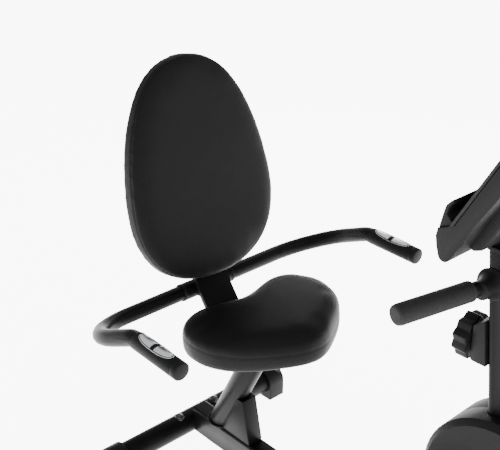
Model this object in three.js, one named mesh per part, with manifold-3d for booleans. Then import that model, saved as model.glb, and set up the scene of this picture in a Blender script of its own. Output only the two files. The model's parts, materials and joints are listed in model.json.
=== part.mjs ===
// Recumbent exercise bike: padded seat and backrest on a sliding carriage, side handles with pulse
// plates, belt drive with a magnet-braked flywheel, front T-bar and a tilting console.
// Millimetres. +X points forwards, +Y to the rider's left, +Z up. The floor is z = 0, and x is
// counted from the rear handlebar's crossbar until the last lines centre the bike on its origin.

import * as THREE from 'three';
import { mergeVertices } from 'three/addons/utils/BufferGeometryUtils.js';
import Module from 'manifold-3d';

const wasm = await Module();
wasm.setup();

// ---------------------------------------------------------------- driving dimensions

const GAP = 0.3;                    // clearance between two pieces that touch

const STABILIZER_R = 24;            // floor tubes
const STABILIZER_WALL = 2.5;
const REAR_STABILIZER_X = -41;
const REAR_WIDTH = 470;
const FRONT_STABILIZER_X = 1118;
const FRONT_WIDTH = 500;
const FOOT_LENGTH = 42;
const FOOT_WALL = 6;
const FOOT_SOLE = 15;
const TRANSPORT_WHEEL_R = 24;
const TRANSPORT_WHEEL_WIDTH = 22;

const BEAM_WIDTH = 40;              // main beam along the floor
const BEAM_HEIGHT = 60;
const BEAM_BOTTOM = 18;
const BEAM_OVERLAP = 12;            // the beam's ends reach this far over a floor tube
const BEAM_WALL = 2.5;

const LEG_R = 25;                   // slanted seat leg
const LEG_ANGLE = 63;
const LEG_TOP_X = 157;
const GUSSET_HEIGHT = 96;
const RAIL_LENGTH = 113;            // fixed rail on the leg, under the seat
const RAIL_WIDTH = 44;
const RAIL_HEIGHT = 20;
const RAIL_REAR_X = 114;
const LEVER_X = 205;                // the slide's release lever
const LEVER_PLAY = 1;

const SEAT_BOTTOM = 343;            // underside of the seat cushion
const SEAT_THICKNESS = 66;
const SEAT_BOARD = 6.4;
const SEAT_REAR_X = 87;
const SEAT_LENGTH = 222;
const SEAT_WIDTH = 326;
const SEAT_NOTCH = 17;

const BRACKET_WIDTH = 76;           // curved plate that joins seat and backrest
const BRACKET_THICKNESS = 9;
const BACK_LEAN = 13;
const BACK_BASE_X = 36;
const BACK_ABOVE_SEAT = 80;
const BACK_HEIGHT = 419;
const BACK_WIDTH = 330;
const BACK_THICKNESS = 42;
const BACK_BOARD = 5;

const BAR_ABOVE_SEAT = 42;          // rear handlebar
const BAR_R = 15;
const STUB_HALF = 60;
const STUB_WALL = 1.7;
const BAR_BEND_Y = 184;
const BAR_BEND_R = 112;
const BAR_BEND_ANGLE = 94.5;
const BAR_RISE = 23.4;
const BAR_ARM = 62;
const GRIP_R = 16;
const GRIP_LENGTH = 126;
const GRIP_DIP = 2;
const GRIP_CAP = 14;

const POST_LEAN = 7;                // front post, leaning towards the rider
const POST_DEPTH = 60;
const POST_WIDTH = 42;
const POST_WALL = 2.5;
const POST_BASE_X = 739;
const POST_TOP_Z = 702;

const TBAR_BELOW_TOP = 50;          // front T-bar
const TBAR_SETBACK = 12.9;
const TBAR_R = 11;
const TBAR_SWEEP = 12;
const TBAR_REACH = 186;
const FOAM_WALL = 3.7;
const FOAM_LENGTH = 130;

const CRANK_Z = 320;                // drive
const CRANK_LENGTH = 170;
const CRANK_ANGLE = 25;
const CRANK_ARM_CLEARANCE = 4;
const CRANK_ARM_THICKNESS = 13;
const AXLE_R = 8.5;
const BB_R = 20;
const BB_HALF = 24;
const PULLEY_R = 105;
const PULLEY_Y = 32;
const BELT_WIDTH = 10;
const BELT_THICKNESS = 3;
const BELT_CLEARANCE = 0.8;
const FLYWHEEL_X = 938;
const FLYWHEEL_R = 128;
const FLYWHEEL_WIDTH = 22;
const SMALL_PULLEY_R = 22;
const SHAFT_R = 8;
const BRAKE_PIN_R = 5;
const HOUSING_HALF = 48;
const HOUSING_WALL = 3;
const HOUSING_MARGIN = 24;          // housing round the flywheel
const HOUSING_LIFT = 3;             // housing above the beam

const PEDAL_LENGTH = 92;            // fore and aft
const PEDAL_WIDTH = 88;
const PEDAL_HEIGHT = 22;
const SPINDLE_R = 6;
const STRAP_RISE = 62;
const STRAP_WIDTH = 30;

const KNOB_R = 36;                  // tension control on the post
const KNOB_LENGTH = 27;
const KNOB_ABOVE_BOTTOM = 27;
const BLOCK_HEIGHT = 70;
const BLOCK_BELOW_BAR = 62;
const BLOCK_REACH = 24;
const BLOCK_WIDTH = 46;

const CONSOLE_SETBACK = 27.5;       // a point on the console's face, and the face's slope
const CONSOLE_ABOVE_TOP = 67;
const CONSOLE_TILT = 29.5;
const CONSOLE_WIDTH = 230;
const CONSOLE_LOW = -52;
const CONSOLE_HIGH = 190;
const CONSOLE_WALL = 25;
const CONSOLE_CORNER = 12;
const CONSOLE_DEPTH = 44;
const FACE_THICKNESS = 4;
const TILT_X = 55;                  // tilt pivot, in the console's own directions
const TILT_Z = -14;
const TILT_R = 9;
const TILT_PIN_R = 4;

const BEAM_TOP = BEAM_BOTTOM + BEAM_HEIGHT;
const STABILIZER_Z = FOOT_SOLE + STABILIZER_R;
const FOOT_HALF_DEPTH = STABILIZER_R + FOOT_WALL;
const BAR_Z = SEAT_BOTTOM + BAR_ABOVE_SEAT;
const BACK_BASE_Z = SEAT_BOTTOM + BACK_ABOVE_SEAT;
const STUB_R = BAR_R + GAP + STUB_WALL;
const FOAM_R = TBAR_R + GAP + FOAM_WALL;
const FLYWHEEL_Z = BEAM_TOP + HOUSING_LIFT + HOUSING_MARGIN + FLYWHEEL_R;
const CRANK_ARM_INNER = HOUSING_HALF + CRANK_ARM_CLEARANCE;
const RAIL_TOP = SEAT_BOTTOM - GAP - SEAT_BOARD - GAP - BRACKET_THICKNESS - GAP - 5 - GAP;
const RAIL_BOTTOM = RAIL_TOP - RAIL_HEIGHT;

// ---------------------------------------------------------------- materials

function finish(color, roughness, metalness) {
  return new THREE.MeshStandardMaterial({ color, roughness, metalness });
}

const blackPaint = finish('#17181a', 0.45, 0.5);
const blackPlastic = finish('#1b1c1e', 0.55, 0);
const greyPlastic = finish('#2b2d30', 0.5, 0);
const foam = finish('#1e1e1f', 0.9, 0);
const vinyl = finish('#151515', 0.6, 0);
const rubber = finish('#202020', 0.85, 0);
const steel = finish('#9a9da1', 0.3, 1);
const castIron = finish('#3b3d40', 0.5, 0.9);
const screenGlass = finish('#0d1114', 0.1, 0);

// ---------------------------------------------------------------- geometry helpers

const radians = THREE.MathUtils.degToRad;

function toSolid(geometry) {
  const bare = geometry.clone();
  bare.deleteAttribute('normal');
  bare.deleteAttribute('uv');
  const merged = mergeVertices(bare, 1e-3);
  return new wasm.Manifold(new wasm.Mesh({
    numProp: 3,
    vertProperties: new Float32Array(merged.attributes.position.array),
    triVerts: new Uint32Array(merged.index.array),
  }));
}

function toGeometry(solid) {
  const mesh = solid.getMesh();
  const geometry = new THREE.BufferGeometry();
  geometry.setAttribute('position', new THREE.BufferAttribute(mesh.vertProperties, 3));
  geometry.setIndex(new THREE.BufferAttribute(mesh.triVerts, 1));
  geometry.computeVertexNormals();
  return geometry;
}

function join(first, ...others) {
  return toGeometry(others.reduce((sum, other) => sum.add(toSolid(other)), toSolid(first)));
}

function cut(first, ...tools) {
  return toGeometry(tools.reduce((rest, tool) => rest.subtract(toSolid(tool)), toSolid(first)));
}

function keep(first, tool) {
  return toGeometry(toSolid(first).intersect(toSolid(tool)));
}

// A box between two corners.
function box(low, high) {
  const geometry = new THREE.BoxGeometry(high[0] - low[0], high[1] - low[1], high[2] - low[2]);
  return geometry.translate((low[0] + high[0]) / 2, (low[1] + high[1]) / 2, (low[2] + high[2]) / 2);
}

// A round bar along Y, from one y to another, centred on x and z.
function barY(r, from, to, x = 0, z = 0, sides = 24) {
  const geometry = new THREE.CylinderGeometry(r, r, Math.abs(to - from), sides);
  return geometry.translate(x, (from + to) / 2, z);
}

// A turned body: points are [radius, distance along the axis], the axis is Y.
function turned(points, sides = 28) {
  const profile = points.map(([r, y]) => new THREE.Vector2(r, y));
  return new THREE.LatheGeometry([...profile, profile[0]], sides);
}

// The same, with its axis along X.
function turnedX(points, sides = 32) {
  return turned(points, sides).rotateZ(-Math.PI / 2);
}

// A flat shape drawn in X and Z, given a width along Y and centred on y = 0 or set between two y.
function slab(shape, from, to, curveSegments = 12) {
  const geometry = new THREE.ExtrudeGeometry(shape, { depth: to - from, bevelEnabled: false, curveSegments });
  return geometry.rotateX(Math.PI / 2).translate(0, to, 0);
}

function mirrored(geometry) {
  const copy = geometry.clone().scale(1, -1, 1);
  const flat = copy.index ? copy.toNonIndexed() : copy;
  const position = flat.attributes.position;
  for (let corner = 0; corner < position.count; corner += 3) {
    const kept = [position.getX(corner), position.getY(corner), position.getZ(corner)];
    const next = corner + 1;
    position.setXYZ(corner, position.getX(next), position.getY(next), position.getZ(next));
    position.setXYZ(next, ...kept);
  }
  flat.computeVertexNormals();
  return flat;
}

function roundedRectangle(width, height, r) {
  const shape = new THREE.Shape();
  const w = width / 2;
  const h = height / 2;
  shape.moveTo(-w + r, -h);
  shape.lineTo(w - r, -h);
  shape.absarc(w - r, -h + r, r, -Math.PI / 2, 0);
  shape.lineTo(w, h - r);
  shape.absarc(w - r, h - r, r, 0, Math.PI / 2);
  shape.lineTo(-w + r, h);
  shape.absarc(-w + r, h - r, r, Math.PI / 2, Math.PI);
  shape.lineTo(-w, -h + r);
  shape.absarc(-w + r, -h + r, r, Math.PI, 1.5 * Math.PI);
  return shape;
}

function circle(r, x = 0, y = 0) {
  return new THREE.Shape().absarc(x, y, r, 0, 2 * Math.PI);
}

// The outline that wraps tightly round circles [x, y, r], listed anticlockwise.
function wrap(circles) {
  const shape = new THREE.Shape();
  const normals = circles.map(([x, y, r], i) => {
    const [nx, ny, nr] = circles[(i + 1) % circles.length];
    const span = Math.hypot(nx - x, ny - y);
    return Math.atan2(ny - y, nx - x) - Math.PI / 2 + Math.asin((r - nr) / span);
  });
  circles.forEach(([x, y, r], i) => {
    const from = normals[(i + circles.length - 1) % circles.length];
    let to = normals[i];
    while (to < from) to += 2 * Math.PI;
    shape.absarc(x, y, r, from, to, false);
  });
  shape.closePath();
  return shape;
}

function add(parent, name, geometry, material, place = {}) {
  const mesh = new THREE.Mesh(geometry, material);
  mesh.name = name;
  if (place.at) mesh.position.set(...place.at);
  if (place.turn) mesh.rotation.set(...place.turn.map(radians));
  parent.add(mesh);
  return mesh;
}

const SIDES = [['left', 1], ['right', -1]];

const bike = new THREE.Group();

// ---------------------------------------------------------------- stabilizers, feet, transport wheels

// Side outline of a foot: a round top over the tube and a flat sole on the floor.
function footOutline() {
  const shape = new THREE.Shape();
  shape.moveTo(-FOOT_HALF_DEPTH + 3, 0);
  shape.lineTo(FOOT_HALF_DEPTH - 3, 0);
  shape.lineTo(FOOT_HALF_DEPTH, 3);
  shape.lineTo(FOOT_HALF_DEPTH, STABILIZER_Z);
  shape.absarc(0, STABILIZER_Z, FOOT_HALF_DEPTH, 0, Math.PI);
  shape.lineTo(-FOOT_HALF_DEPTH, 3);
  shape.closePath();
  return shape;
}

const TUBE_END = FOOT_WALL + GAP;   // the tube stops this far short of the foot's outer face
const LUG_SLOT = TRANSPORT_WHEEL_WIDTH + 3;
const LUG_LENGTH = FOOT_HALF_DEPTH + 2 * TRANSPORT_WHEEL_R - 8;
const WHEEL_OFFSET = FOOT_HALF_DEPTH + TRANSPORT_WHEEL_R + 1;
const WHEEL_Z = TRANSPORT_WHEEL_R + 7;
const PIN_R = 4;

// A left foot whose outer face is at y = 0, so it reaches towards -y.
function foot() {
  const bore = barY(STABILIZER_R + GAP, -FOOT_LENGTH - 1, -FOOT_WALL, 0, STABILIZER_Z);
  return cut(slab(footOutline(), -FOOT_LENGTH, 0), bore);
}

function wheeledFoot() {
  const middle = -FOOT_LENGTH / 2;
  const lug = new THREE.Shape();
  lug.moveTo(0, 12);
  lug.lineTo(LUG_LENGTH - 10, 14);
  lug.lineTo(LUG_LENGTH, WHEEL_Z);
  lug.lineTo(LUG_LENGTH - 10, WHEEL_Z + 14);
  lug.lineTo(0, STABILIZER_Z + 24);
  lug.closePath();
  const block = join(slab(footOutline(), -FOOT_LENGTH, 0), slab(lug, -FOOT_LENGTH, 0));
  const slot = box([FOOT_HALF_DEPTH, middle - LUG_SLOT / 2, -1], [LUG_LENGTH + 9, middle + LUG_SLOT / 2, 99]);
  const bore = barY(STABILIZER_R + GAP, -FOOT_LENGTH - 1, -FOOT_WALL, 0, STABILIZER_Z);
  const pin = barY(PIN_R, -FOOT_LENGTH + 4, -4, WHEEL_OFFSET, WHEEL_Z, 16);
  return join(cut(block, slot, bore), pin);
}

function transportWheel() {
  const half = TRANSPORT_WHEEL_WIDTH / 2;
  const r = TRANSPORT_WHEEL_R;
  return turned([[PIN_R + GAP, -half], [r - 2, -half], [r, 2 - half], [r, half - 2], [r - 2, half],
    [PIN_R + GAP, half]], 28);
}

function floorTube(width) {
  const half = width / 2 - TUBE_END;
  const inner = STABILIZER_R - STABILIZER_WALL;
  return turned([[inner, -half], [STABILIZER_R, -half], [STABILIZER_R, half], [inner, half]], 28);
}

add(bike, 'rear_stabilizer', floorTube(REAR_WIDTH), blackPaint, { at: [REAR_STABILIZER_X, 0, STABILIZER_Z] });
add(bike, 'front_stabilizer', floorTube(FRONT_WIDTH), blackPaint, { at: [FRONT_STABILIZER_X, 0, STABILIZER_Z] });

for (const [side, sign] of SIDES) {
  const rearFoot = sign > 0 ? foot() : mirrored(foot());
  const frontFoot = sign > 0 ? wheeledFoot() : mirrored(wheeledFoot());
  const frontY = sign * FRONT_WIDTH / 2;
  add(bike, `rear_foot_${side}`, rearFoot, blackPlastic, { at: [REAR_STABILIZER_X, sign * REAR_WIDTH / 2, 0] });
  add(bike, `front_foot_${side}`, frontFoot, blackPlastic, { at: [FRONT_STABILIZER_X, frontY, 0] });
  const wheelY = sign * (FRONT_WIDTH - FOOT_LENGTH) / 2;
  const wheelAt = [FRONT_STABILIZER_X + WHEEL_OFFSET, wheelY, WHEEL_Z];
  add(bike, `transport_wheel_${side}`, transportWheel(), rubber, { at: wheelAt });
}

// ---------------------------------------------------------------- main beam, seat leg, rail

const BEAM_REAR = REAR_STABILIZER_X + STABILIZER_R - BEAM_OVERLAP;
const BEAM_FRONT = FRONT_STABILIZER_X - STABILIZER_R + BEAM_OVERLAP;

function mainBeam() {
  const length = BEAM_FRONT - BEAM_REAR;
  const wide = BEAM_WIDTH;
  const high = BEAM_HEIGHT;
  const outer = new THREE.ExtrudeGeometry(roundedRectangle(high, wide, 7), {
    depth: length, bevelEnabled: false, curveSegments: 4,
  });
  const bore = roundedRectangle(high - 2 * BEAM_WALL, wide - 2 * BEAM_WALL, 4.5);
  const inner = new THREE.ExtrudeGeometry(bore, {
    depth: length, bevelEnabled: false, curveSegments: 3,
  });
  outer.rotateY(Math.PI / 2);
  inner.rotateY(Math.PI / 2).translate(BEAM_WALL, 0, 0);
  const centre = BEAM_BOTTOM + BEAM_HEIGHT / 2;
  const tube = cut(outer, inner).translate(BEAM_REAR, 0, centre);
  const saddle = (x) => barY(STABILIZER_R + GAP, -wide, wide, x, STABILIZER_Z, 28);
  return cut(tube, saddle(REAR_STABILIZER_X), saddle(FRONT_STABILIZER_X));
}

add(bike, 'main_beam', mainBeam(), blackPaint);

// The leg's bar, from below the beam's top to above the rail's underside, before it is trimmed.
function legBar(r, sides = 28) {
  const length = (RAIL_BOTTOM - BEAM_TOP) / Math.sin(radians(LEG_ANGLE)) + 4 * LEG_R;
  const bar = new THREE.CylinderGeometry(r, r, length, sides).rotateX(Math.PI / 2);
  bar.rotateY(radians(90 - LEG_ANGLE));
  const middleZ = (BEAM_TOP + RAIL_BOTTOM) / 2;
  const middleX = LEG_TOP_X - (RAIL_BOTTOM - middleZ) / Math.tan(radians(LEG_ANGLE));
  return bar.translate(middleX, 0, middleZ);
}

function rearLeg() {
  const below = box([-200, -99, -200], [500, 99, BEAM_TOP + GAP]);
  const above = box([-200, -99, RAIL_BOTTOM - GAP], [500, 99, 900]);
  return cut(legBar(LEG_R), legBar(LEG_R - 2.5, 20), below, above);
}

// A boxed gusset that stiffens the leg's front against the beam.
function legGusset() {
  const footX = LEG_TOP_X - (RAIL_BOTTOM - BEAM_TOP) / Math.tan(radians(LEG_ANGLE));
  const shape = new THREE.Shape();
  shape.moveTo(footX, BEAM_TOP + GAP);
  shape.lineTo(footX + 104, BEAM_TOP + GAP);
  shape.lineTo(footX + 85, BEAM_TOP + GUSSET_HEIGHT);
  shape.lineTo(footX + 49, BEAM_TOP + GUSSET_HEIGHT);
  shape.closePath();
  return cut(slab(shape, -BEAM_WIDTH / 2 + 2, BEAM_WIDTH / 2 - 2), legBar(LEG_R + GAP));
}

function seatRail() {
  const profile = roundedRectangle(RAIL_WIDTH, RAIL_HEIGHT, 3);
  const rail = new THREE.ExtrudeGeometry(profile, {
    depth: RAIL_LENGTH, bevelEnabled: false, curveSegments: 3,
  });
  rail.rotateX(Math.PI / 2).rotateZ(Math.PI / 2);
  return rail.translate(RAIL_REAR_X, 0, RAIL_BOTTOM + RAIL_HEIGHT / 2);
}

add(bike, 'rear_leg', rearLeg(), blackPaint);
add(bike, 'leg_gusset', legGusset(), blackPaint);
add(bike, 'seat_rail', seatRail(), blackPaint);

// ---------------------------------------------------------------- seat carriage, lever, bracket

const CARRIAGE_REAR = RAIL_REAR_X - 18;
const CARRIAGE_FRONT = RAIL_REAR_X + RAIL_LENGTH + 12;
const CARRIAGE_WALL = 5;

// An inverted channel that rides on the rail.
function seatCarriage() {
  const half = RAIL_WIDTH / 2 + GAP;
  const top = RAIL_TOP + GAP;
  const shell = box([CARRIAGE_REAR, -half - CARRIAGE_WALL, RAIL_BOTTOM + 3],
    [CARRIAGE_FRONT, half + CARRIAGE_WALL, top + CARRIAGE_WALL]);
  return cut(shell, box([CARRIAGE_REAR - 1, -half, 0], [CARRIAGE_FRONT + 1, half, top]));
}

const LEVER_Y = RAIL_WIDTH / 2 + GAP + CARRIAGE_WALL + LEVER_PLAY;
const LEVER_Z = RAIL_BOTTOM + 8;

// The slide's release lever, a flat blade that reaches out to the rider's left.
function seatLever() {
  const blade = roundedRectangle(96, 22, 10);
  const geometry = new THREE.ExtrudeGeometry(blade, { depth: 6, bevelEnabled: false, curveSegments: 5 });
  return geometry.rotateZ(Math.PI / 2).translate(0, 48, -3);
}

// Centre line of the bracket in X and Z: under the seat, up past the crossbar, up behind the backrest.
function bracketLine() {
  const lean = radians(BACK_LEAN);
  const behind = BACK_THICKNESS / 2 + GAP + BACK_BOARD + GAP + BRACKET_THICKNESS / 2;
  const onBack = (along) => new THREE.Vector2(
    BACK_BASE_X - along * Math.sin(lean) - behind * Math.cos(lean),
    BACK_BASE_Z + along * Math.cos(lean) - behind * Math.sin(lean));
  const flatZ = RAIL_TOP + 2 * GAP + CARRIAGE_WALL + BRACKET_THICKNESS / 2;
  const flat = (x) => new THREE.Vector2(x, flatZ);
  const knee = new THREE.Vector2(50, BAR_Z - 27);
  const upper = new THREE.SplineCurve([onBack(46), onBack(18), new THREE.Vector2(15, BAR_Z + 25),
    new THREE.Vector2(30, BAR_Z), knee]);
  const lower = new THREE.CubicBezierCurve(knee, new THREE.Vector2(64, BAR_Z - 46), flat(82), flat(114));
  return {
    bend: [...upper.getSpacedPoints(14), ...lower.getSpacedPoints(9).slice(1)],
    top: onBack(175),
    end: flat(222),
  };
}

function bracketOutline() {
  const { bend, top, end } = bracketLine();
  const line = [top, ...bend, end];
  const side = (sign) => line.map((point, i) => {
    const before = line[Math.max(i - 1, 0)];
    const after = line[Math.min(i + 1, line.length - 1)];
    const along = after.clone().sub(before).normalize();
    const out = new THREE.Vector2(-along.y, along.x).multiplyScalar(sign * BRACKET_THICKNESS / 2);
    return point.clone().add(out);
  });
  return new THREE.Shape([...side(1), ...side(-1).reverse()]);
}

// The plate and the stub tube across its back that the handlebar's arms plug into.
function backBracket() {
  const plate = slab(bracketOutline(), -BRACKET_WIDTH / 2, BRACKET_WIDTH / 2);
  const weld = box([6, -30, BAR_Z - 12], [27, 30, BAR_Z + 8]);
  const stub = barY(STUB_R, -STUB_HALF, STUB_HALF, 0, BAR_Z, 28);
  return cut(join(plate, weld, stub), barY(BAR_R + GAP, -STUB_HALF - 1, STUB_HALF + 1, 0, BAR_Z, 28));
}

add(bike, 'seat_carriage', seatCarriage(), blackPaint);
add(bike, 'seat_lever', seatLever(), blackPlastic, { at: [LEVER_X, LEVER_Y, LEVER_Z] });
add(bike, 'back_bracket', backBracket(), blackPaint);

// ---------------------------------------------------------------- seat and backrest cushions

// Half outlines are mirrored by drawing them once with sign +1 and once back with sign -1.
function seatOutline(inset = 0) {
  const x = SEAT_REAR_X + inset;
  const nose = SEAT_REAR_X + SEAT_LENGTH - inset;
  const notch = SEAT_REAR_X + SEAT_NOTCH + inset;
  const wide = SEAT_WIDTH / 2 - inset;
  const lobe = 0.55 * wide;
  const middle = SEAT_REAR_X + 0.285 * SEAT_LENGTH;
  const shape = new THREE.Shape();
  shape.moveTo(notch, 0);
  shape.bezierCurveTo(notch, 0.17 * wide, x, 0.3 * wide, x, lobe);
  shape.bezierCurveTo(x, 0.8 * wide, x + 28, wide, middle, wide);
  shape.bezierCurveTo(middle + 75, wide, nose, 0.46 * wide, nose, 0);
  shape.bezierCurveTo(nose, -0.46 * wide, middle + 75, -wide, middle, -wide);
  shape.bezierCurveTo(x + 28, -wide, x, -0.8 * wide, x, -lobe);
  shape.bezierCurveTo(x, -0.3 * wide, notch, -0.17 * wide, notch, 0);
  return shape;
}

// Drawn with x across the backrest and y up along it.
function backOutline(inset = 0) {
  const wide = BACK_WIDTH / 2 - inset;
  const low = inset;
  const high = BACK_HEIGHT - inset;
  const widest = 0.363 * BACK_HEIGHT;
  const shape = new THREE.Shape();
  shape.moveTo(0, low);
  shape.bezierCurveTo(0.55 * wide, low, wide, 0.41 * widest, wide, widest);
  shape.bezierCurveTo(wide, 1.41 * widest, 0.69 * wide, high, 0, high);
  shape.bezierCurveTo(-0.69 * wide, high, -wide, 1.41 * widest, -wide, widest);
  shape.bezierCurveTo(-wide, 0.41 * widest, -0.55 * wide, low, 0, low);
  return shape;
}

function cushion(shape, thickness, edge) {
  return new THREE.ExtrudeGeometry(shape, {
    depth: thickness - 2 * edge, bevelEnabled: true, bevelThickness: edge, bevelSize: edge,
    bevelOffset: -edge, bevelSegments: 2, curveSegments: 7,
  }).translate(0, 0, edge);
}

function board(shape, thickness) {
  return new THREE.ExtrudeGeometry(shape, { depth: thickness, bevelEnabled: false, curveSegments: 8 });
}

add(bike, 'seat_board', board(seatOutline(12), SEAT_BOARD), blackPlastic,
  { at: [0, 0, SEAT_BOTTOM - GAP - SEAT_BOARD] });
add(bike, 'seat_cushion', cushion(seatOutline(), SEAT_THICKNESS, 16), vinyl, { at: [0, 0, SEAT_BOTTOM] });

// The backrest leans back; inside this group z runs up along it and +x faces the rider's back.
const backrest = new THREE.Group();
backrest.position.set(BACK_BASE_X, 0, BACK_BASE_Z);
backrest.rotation.y = -radians(BACK_LEAN);
bike.add(backrest);

// Stands a flat outline up, so that its thickness runs along +x.
const upright = (geometry) => geometry.rotateX(Math.PI / 2).rotateZ(Math.PI / 2);

add(backrest, 'back_cushion', upright(cushion(backOutline(), BACK_THICKNESS, 12)), vinyl,
  { at: [-BACK_THICKNESS / 2, 0, 0] });
add(backrest, 'back_board', upright(board(backOutline(24), BACK_BOARD)), blackPlastic,
  { at: [-BACK_THICKNESS / 2 - GAP - BACK_BOARD, 0, 0] });

// ---------------------------------------------------------------- rear handlebar, side grips, pulse plates

// The arm's plane holds the crossbar's direction and rises forwards by BAR_RISE.
const riseDirection = new THREE.Vector3(Math.cos(radians(BAR_RISE)), 0, Math.sin(radians(BAR_RISE)));
const gripDirection = new THREE.Vector3(Math.cos(radians(GRIP_DIP)), 0, -Math.sin(radians(GRIP_DIP)));
const GRIP_START = 9;

function armPath() {
  const outward = new THREE.Vector3(0, 1, 0);
  const at = (y, rise) => new THREE.Vector3(0, 0, BAR_Z)
    .addScaledVector(outward, y).addScaledVector(riseDirection, rise);
  const points = [at(12, 0), at(60, 0), at(110, 0), at(150, 0)];
  const steps = 12;
  for (let i = 0; i <= steps; i += 1) {
    const angle = radians(BAR_BEND_ANGLE) * i / steps;
    points.push(at(BAR_BEND_Y + BAR_BEND_R * Math.sin(angle), BAR_BEND_R * (1 - Math.cos(angle))));
  }
  const arcEnd = points[points.length - 1];
  const along = outward.clone().multiplyScalar(Math.cos(radians(BAR_BEND_ANGLE)))
    .addScaledVector(riseDirection, Math.sin(radians(BAR_BEND_ANGLE)));
  const corner = arcEnd.clone().addScaledVector(along, BAR_ARM);
  points.push(arcEnd.clone().addScaledVector(along, BAR_ARM / 2));
  points.push(corner.clone().addScaledVector(along, -5));
  points.push(corner.clone().addScaledVector(gripDirection, 5));
  points.push(corner.clone().addScaledVector(gripDirection, GRIP_START));
  return { curve: new THREE.CatmullRomCurve3(points, false, 'centripetal'), corner };
}

const { curve: armCurve, corner: gripCorner } = armPath();

function handlebarArm() {
  return new THREE.ExtrudeGeometry(circle(BAR_R), {
    steps: 38, extrudePath: armCurve, bevelEnabled: false, curveSegments: 6,
  });
}

function sideGrip() {
  const end = GRIP_LENGTH - GRIP_CAP - GAP;
  const start = GRIP_START + GAP;
  return turnedX([[0, start], [GRIP_R - 1.5, start], [GRIP_R, start + 1.5], [GRIP_R, end], [0, end]], 24);
}

function gripCap() {
  const start = GRIP_LENGTH - GRIP_CAP;
  const end = GRIP_LENGTH;
  return turnedX([[0, start], [GRIP_R, start], [GRIP_R, end - 2.5], [GRIP_R - 1, end - 0.8],
    [GRIP_R - 3, end], [0, end]], 24);
}

// A curved metal plate lying on top of the grip.
function pulsePlate(from, to) {
  const spread = radians(58);
  const inner = GRIP_R + GAP;
  const shape = new THREE.Shape();
  shape.absarc(0, 0, inner + 1.2, -spread, spread, false);
  shape.absarc(0, 0, inner, spread, -spread, true);
  shape.closePath();
  const plate = new THREE.ExtrudeGeometry(shape, { depth: to - from, bevelEnabled: false, curveSegments: 6 });
  return plate.rotateY(Math.PI / 2).rotateX(Math.PI).translate(from, 0, 0);
}

const PLATE_START = 22;
const PLATE_LENGTH = 36;
const PLATE_SPLIT = 7;

for (const [side, sign] of SIDES) {
  const arm = sign > 0 ? handlebarArm() : mirrored(handlebarArm());
  add(bike, `handlebar_${side}`, arm, blackPaint);
  const grip = new THREE.Group();
  grip.position.set(gripCorner.x, sign * gripCorner.y, gripCorner.z);
  grip.rotation.y = radians(GRIP_DIP);
  bike.add(grip);
  add(grip, `side_grip_${side}`, sideGrip(), blackPlastic);
  add(grip, `side_grip_cap_${side}`, gripCap(), greyPlastic);
  const second = PLATE_START + PLATE_LENGTH + PLATE_SPLIT;
  add(grip, `pulse_plate_rear_${side}`, pulsePlate(PLATE_START, PLATE_START + PLATE_LENGTH), steel);
  add(grip, `pulse_plate_front_${side}`, pulsePlate(second, second + PLATE_LENGTH), steel);
}

// ---------------------------------------------------------------- front post, T-bar, tension control

const lean = radians(POST_LEAN);
const postX = (z) => POST_BASE_X - (z - BEAM_TOP) * Math.tan(lean);
const postRearX = (z) => postX(z) - POST_DEPTH / 2 / Math.cos(lean);
const postFrontX = (z) => postX(z) + POST_DEPTH / 2 / Math.cos(lean);
const TBAR_Z = POST_TOP_Z - TBAR_BELOW_TOP;
const TBAR_X = postRearX(TBAR_Z) + TBAR_SETBACK;
const CRANK_X = postX(CRANK_Z);
const BLOCK_TOP = TBAR_Z - BLOCK_BELOW_BAR;
const BLOCK_BOTTOM = BLOCK_TOP - BLOCK_HEIGHT;
const KNOB_Z = BLOCK_BOTTOM + KNOB_ABOVE_BOTTOM;
const BLOCK_REAR_X = postRearX(KNOB_Z) - BLOCK_REACH;

// The post's bar grown by a margin all round, from well below its foot to well above its top.
function postBar(margin, r = 10) {
  const section = roundedRectangle(POST_DEPTH + 2 * margin, POST_WIDTH + 2 * margin, r);
  const depth = (POST_TOP_Z - BEAM_TOP) / Math.cos(lean) + 160;
  const bar = new THREE.ExtrudeGeometry(section, { depth, bevelEnabled: false, curveSegments: 4 });
  return bar.translate(0, 0, -60).rotateY(-lean).translate(POST_BASE_X, 0, BEAM_TOP);
}

function tbarPath() {
  const sweep = Math.tan(radians(TBAR_SWEEP));
  const point = (y) => new THREE.Vector3(TBAR_X - Math.abs(y) * sweep, y, TBAR_Z);
  const middle = (y) => new THREE.Vector3(TBAR_X - 3, y, TBAR_Z);
  return new THREE.CatmullRomCurve3([point(-TBAR_REACH + 10), point(-110), point(-40), middle(-12), middle(12),
    point(40), point(110), point(TBAR_REACH - 10)], false, 'centripetal');
}

function tbarBar(r, curveSegments) {
  return new THREE.ExtrudeGeometry(circle(r), {
    steps: 20, extrudePath: tbarPath(), bevelEnabled: false, curveSegments,
  });
}

// The collar that flares from the bar to the post's side.
function tbarCollar() {
  const flare = turned([[0, 0], [24, 0], [20, 3], [16, 9], [14, 18], [0, 18]], 18);
  return flare.translate(TBAR_X - 3, POST_WIDTH / 2 + GAP, TBAR_Z);
}

function frontPost() {
  const below = box([500, -99, -200], [1000, 99, BEAM_TOP + GAP]);
  const above = box([500, -99, POST_TOP_Z], [1000, 99, 1400]);
  const crankHole = barY(BB_R + GAP, -99, 99, CRANK_X, CRANK_Z);
  return cut(postBar(0), postBar(-POST_WALL, 7.5), below, above, crankHole, tbarBar(TBAR_R + GAP, 7));
}

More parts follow.
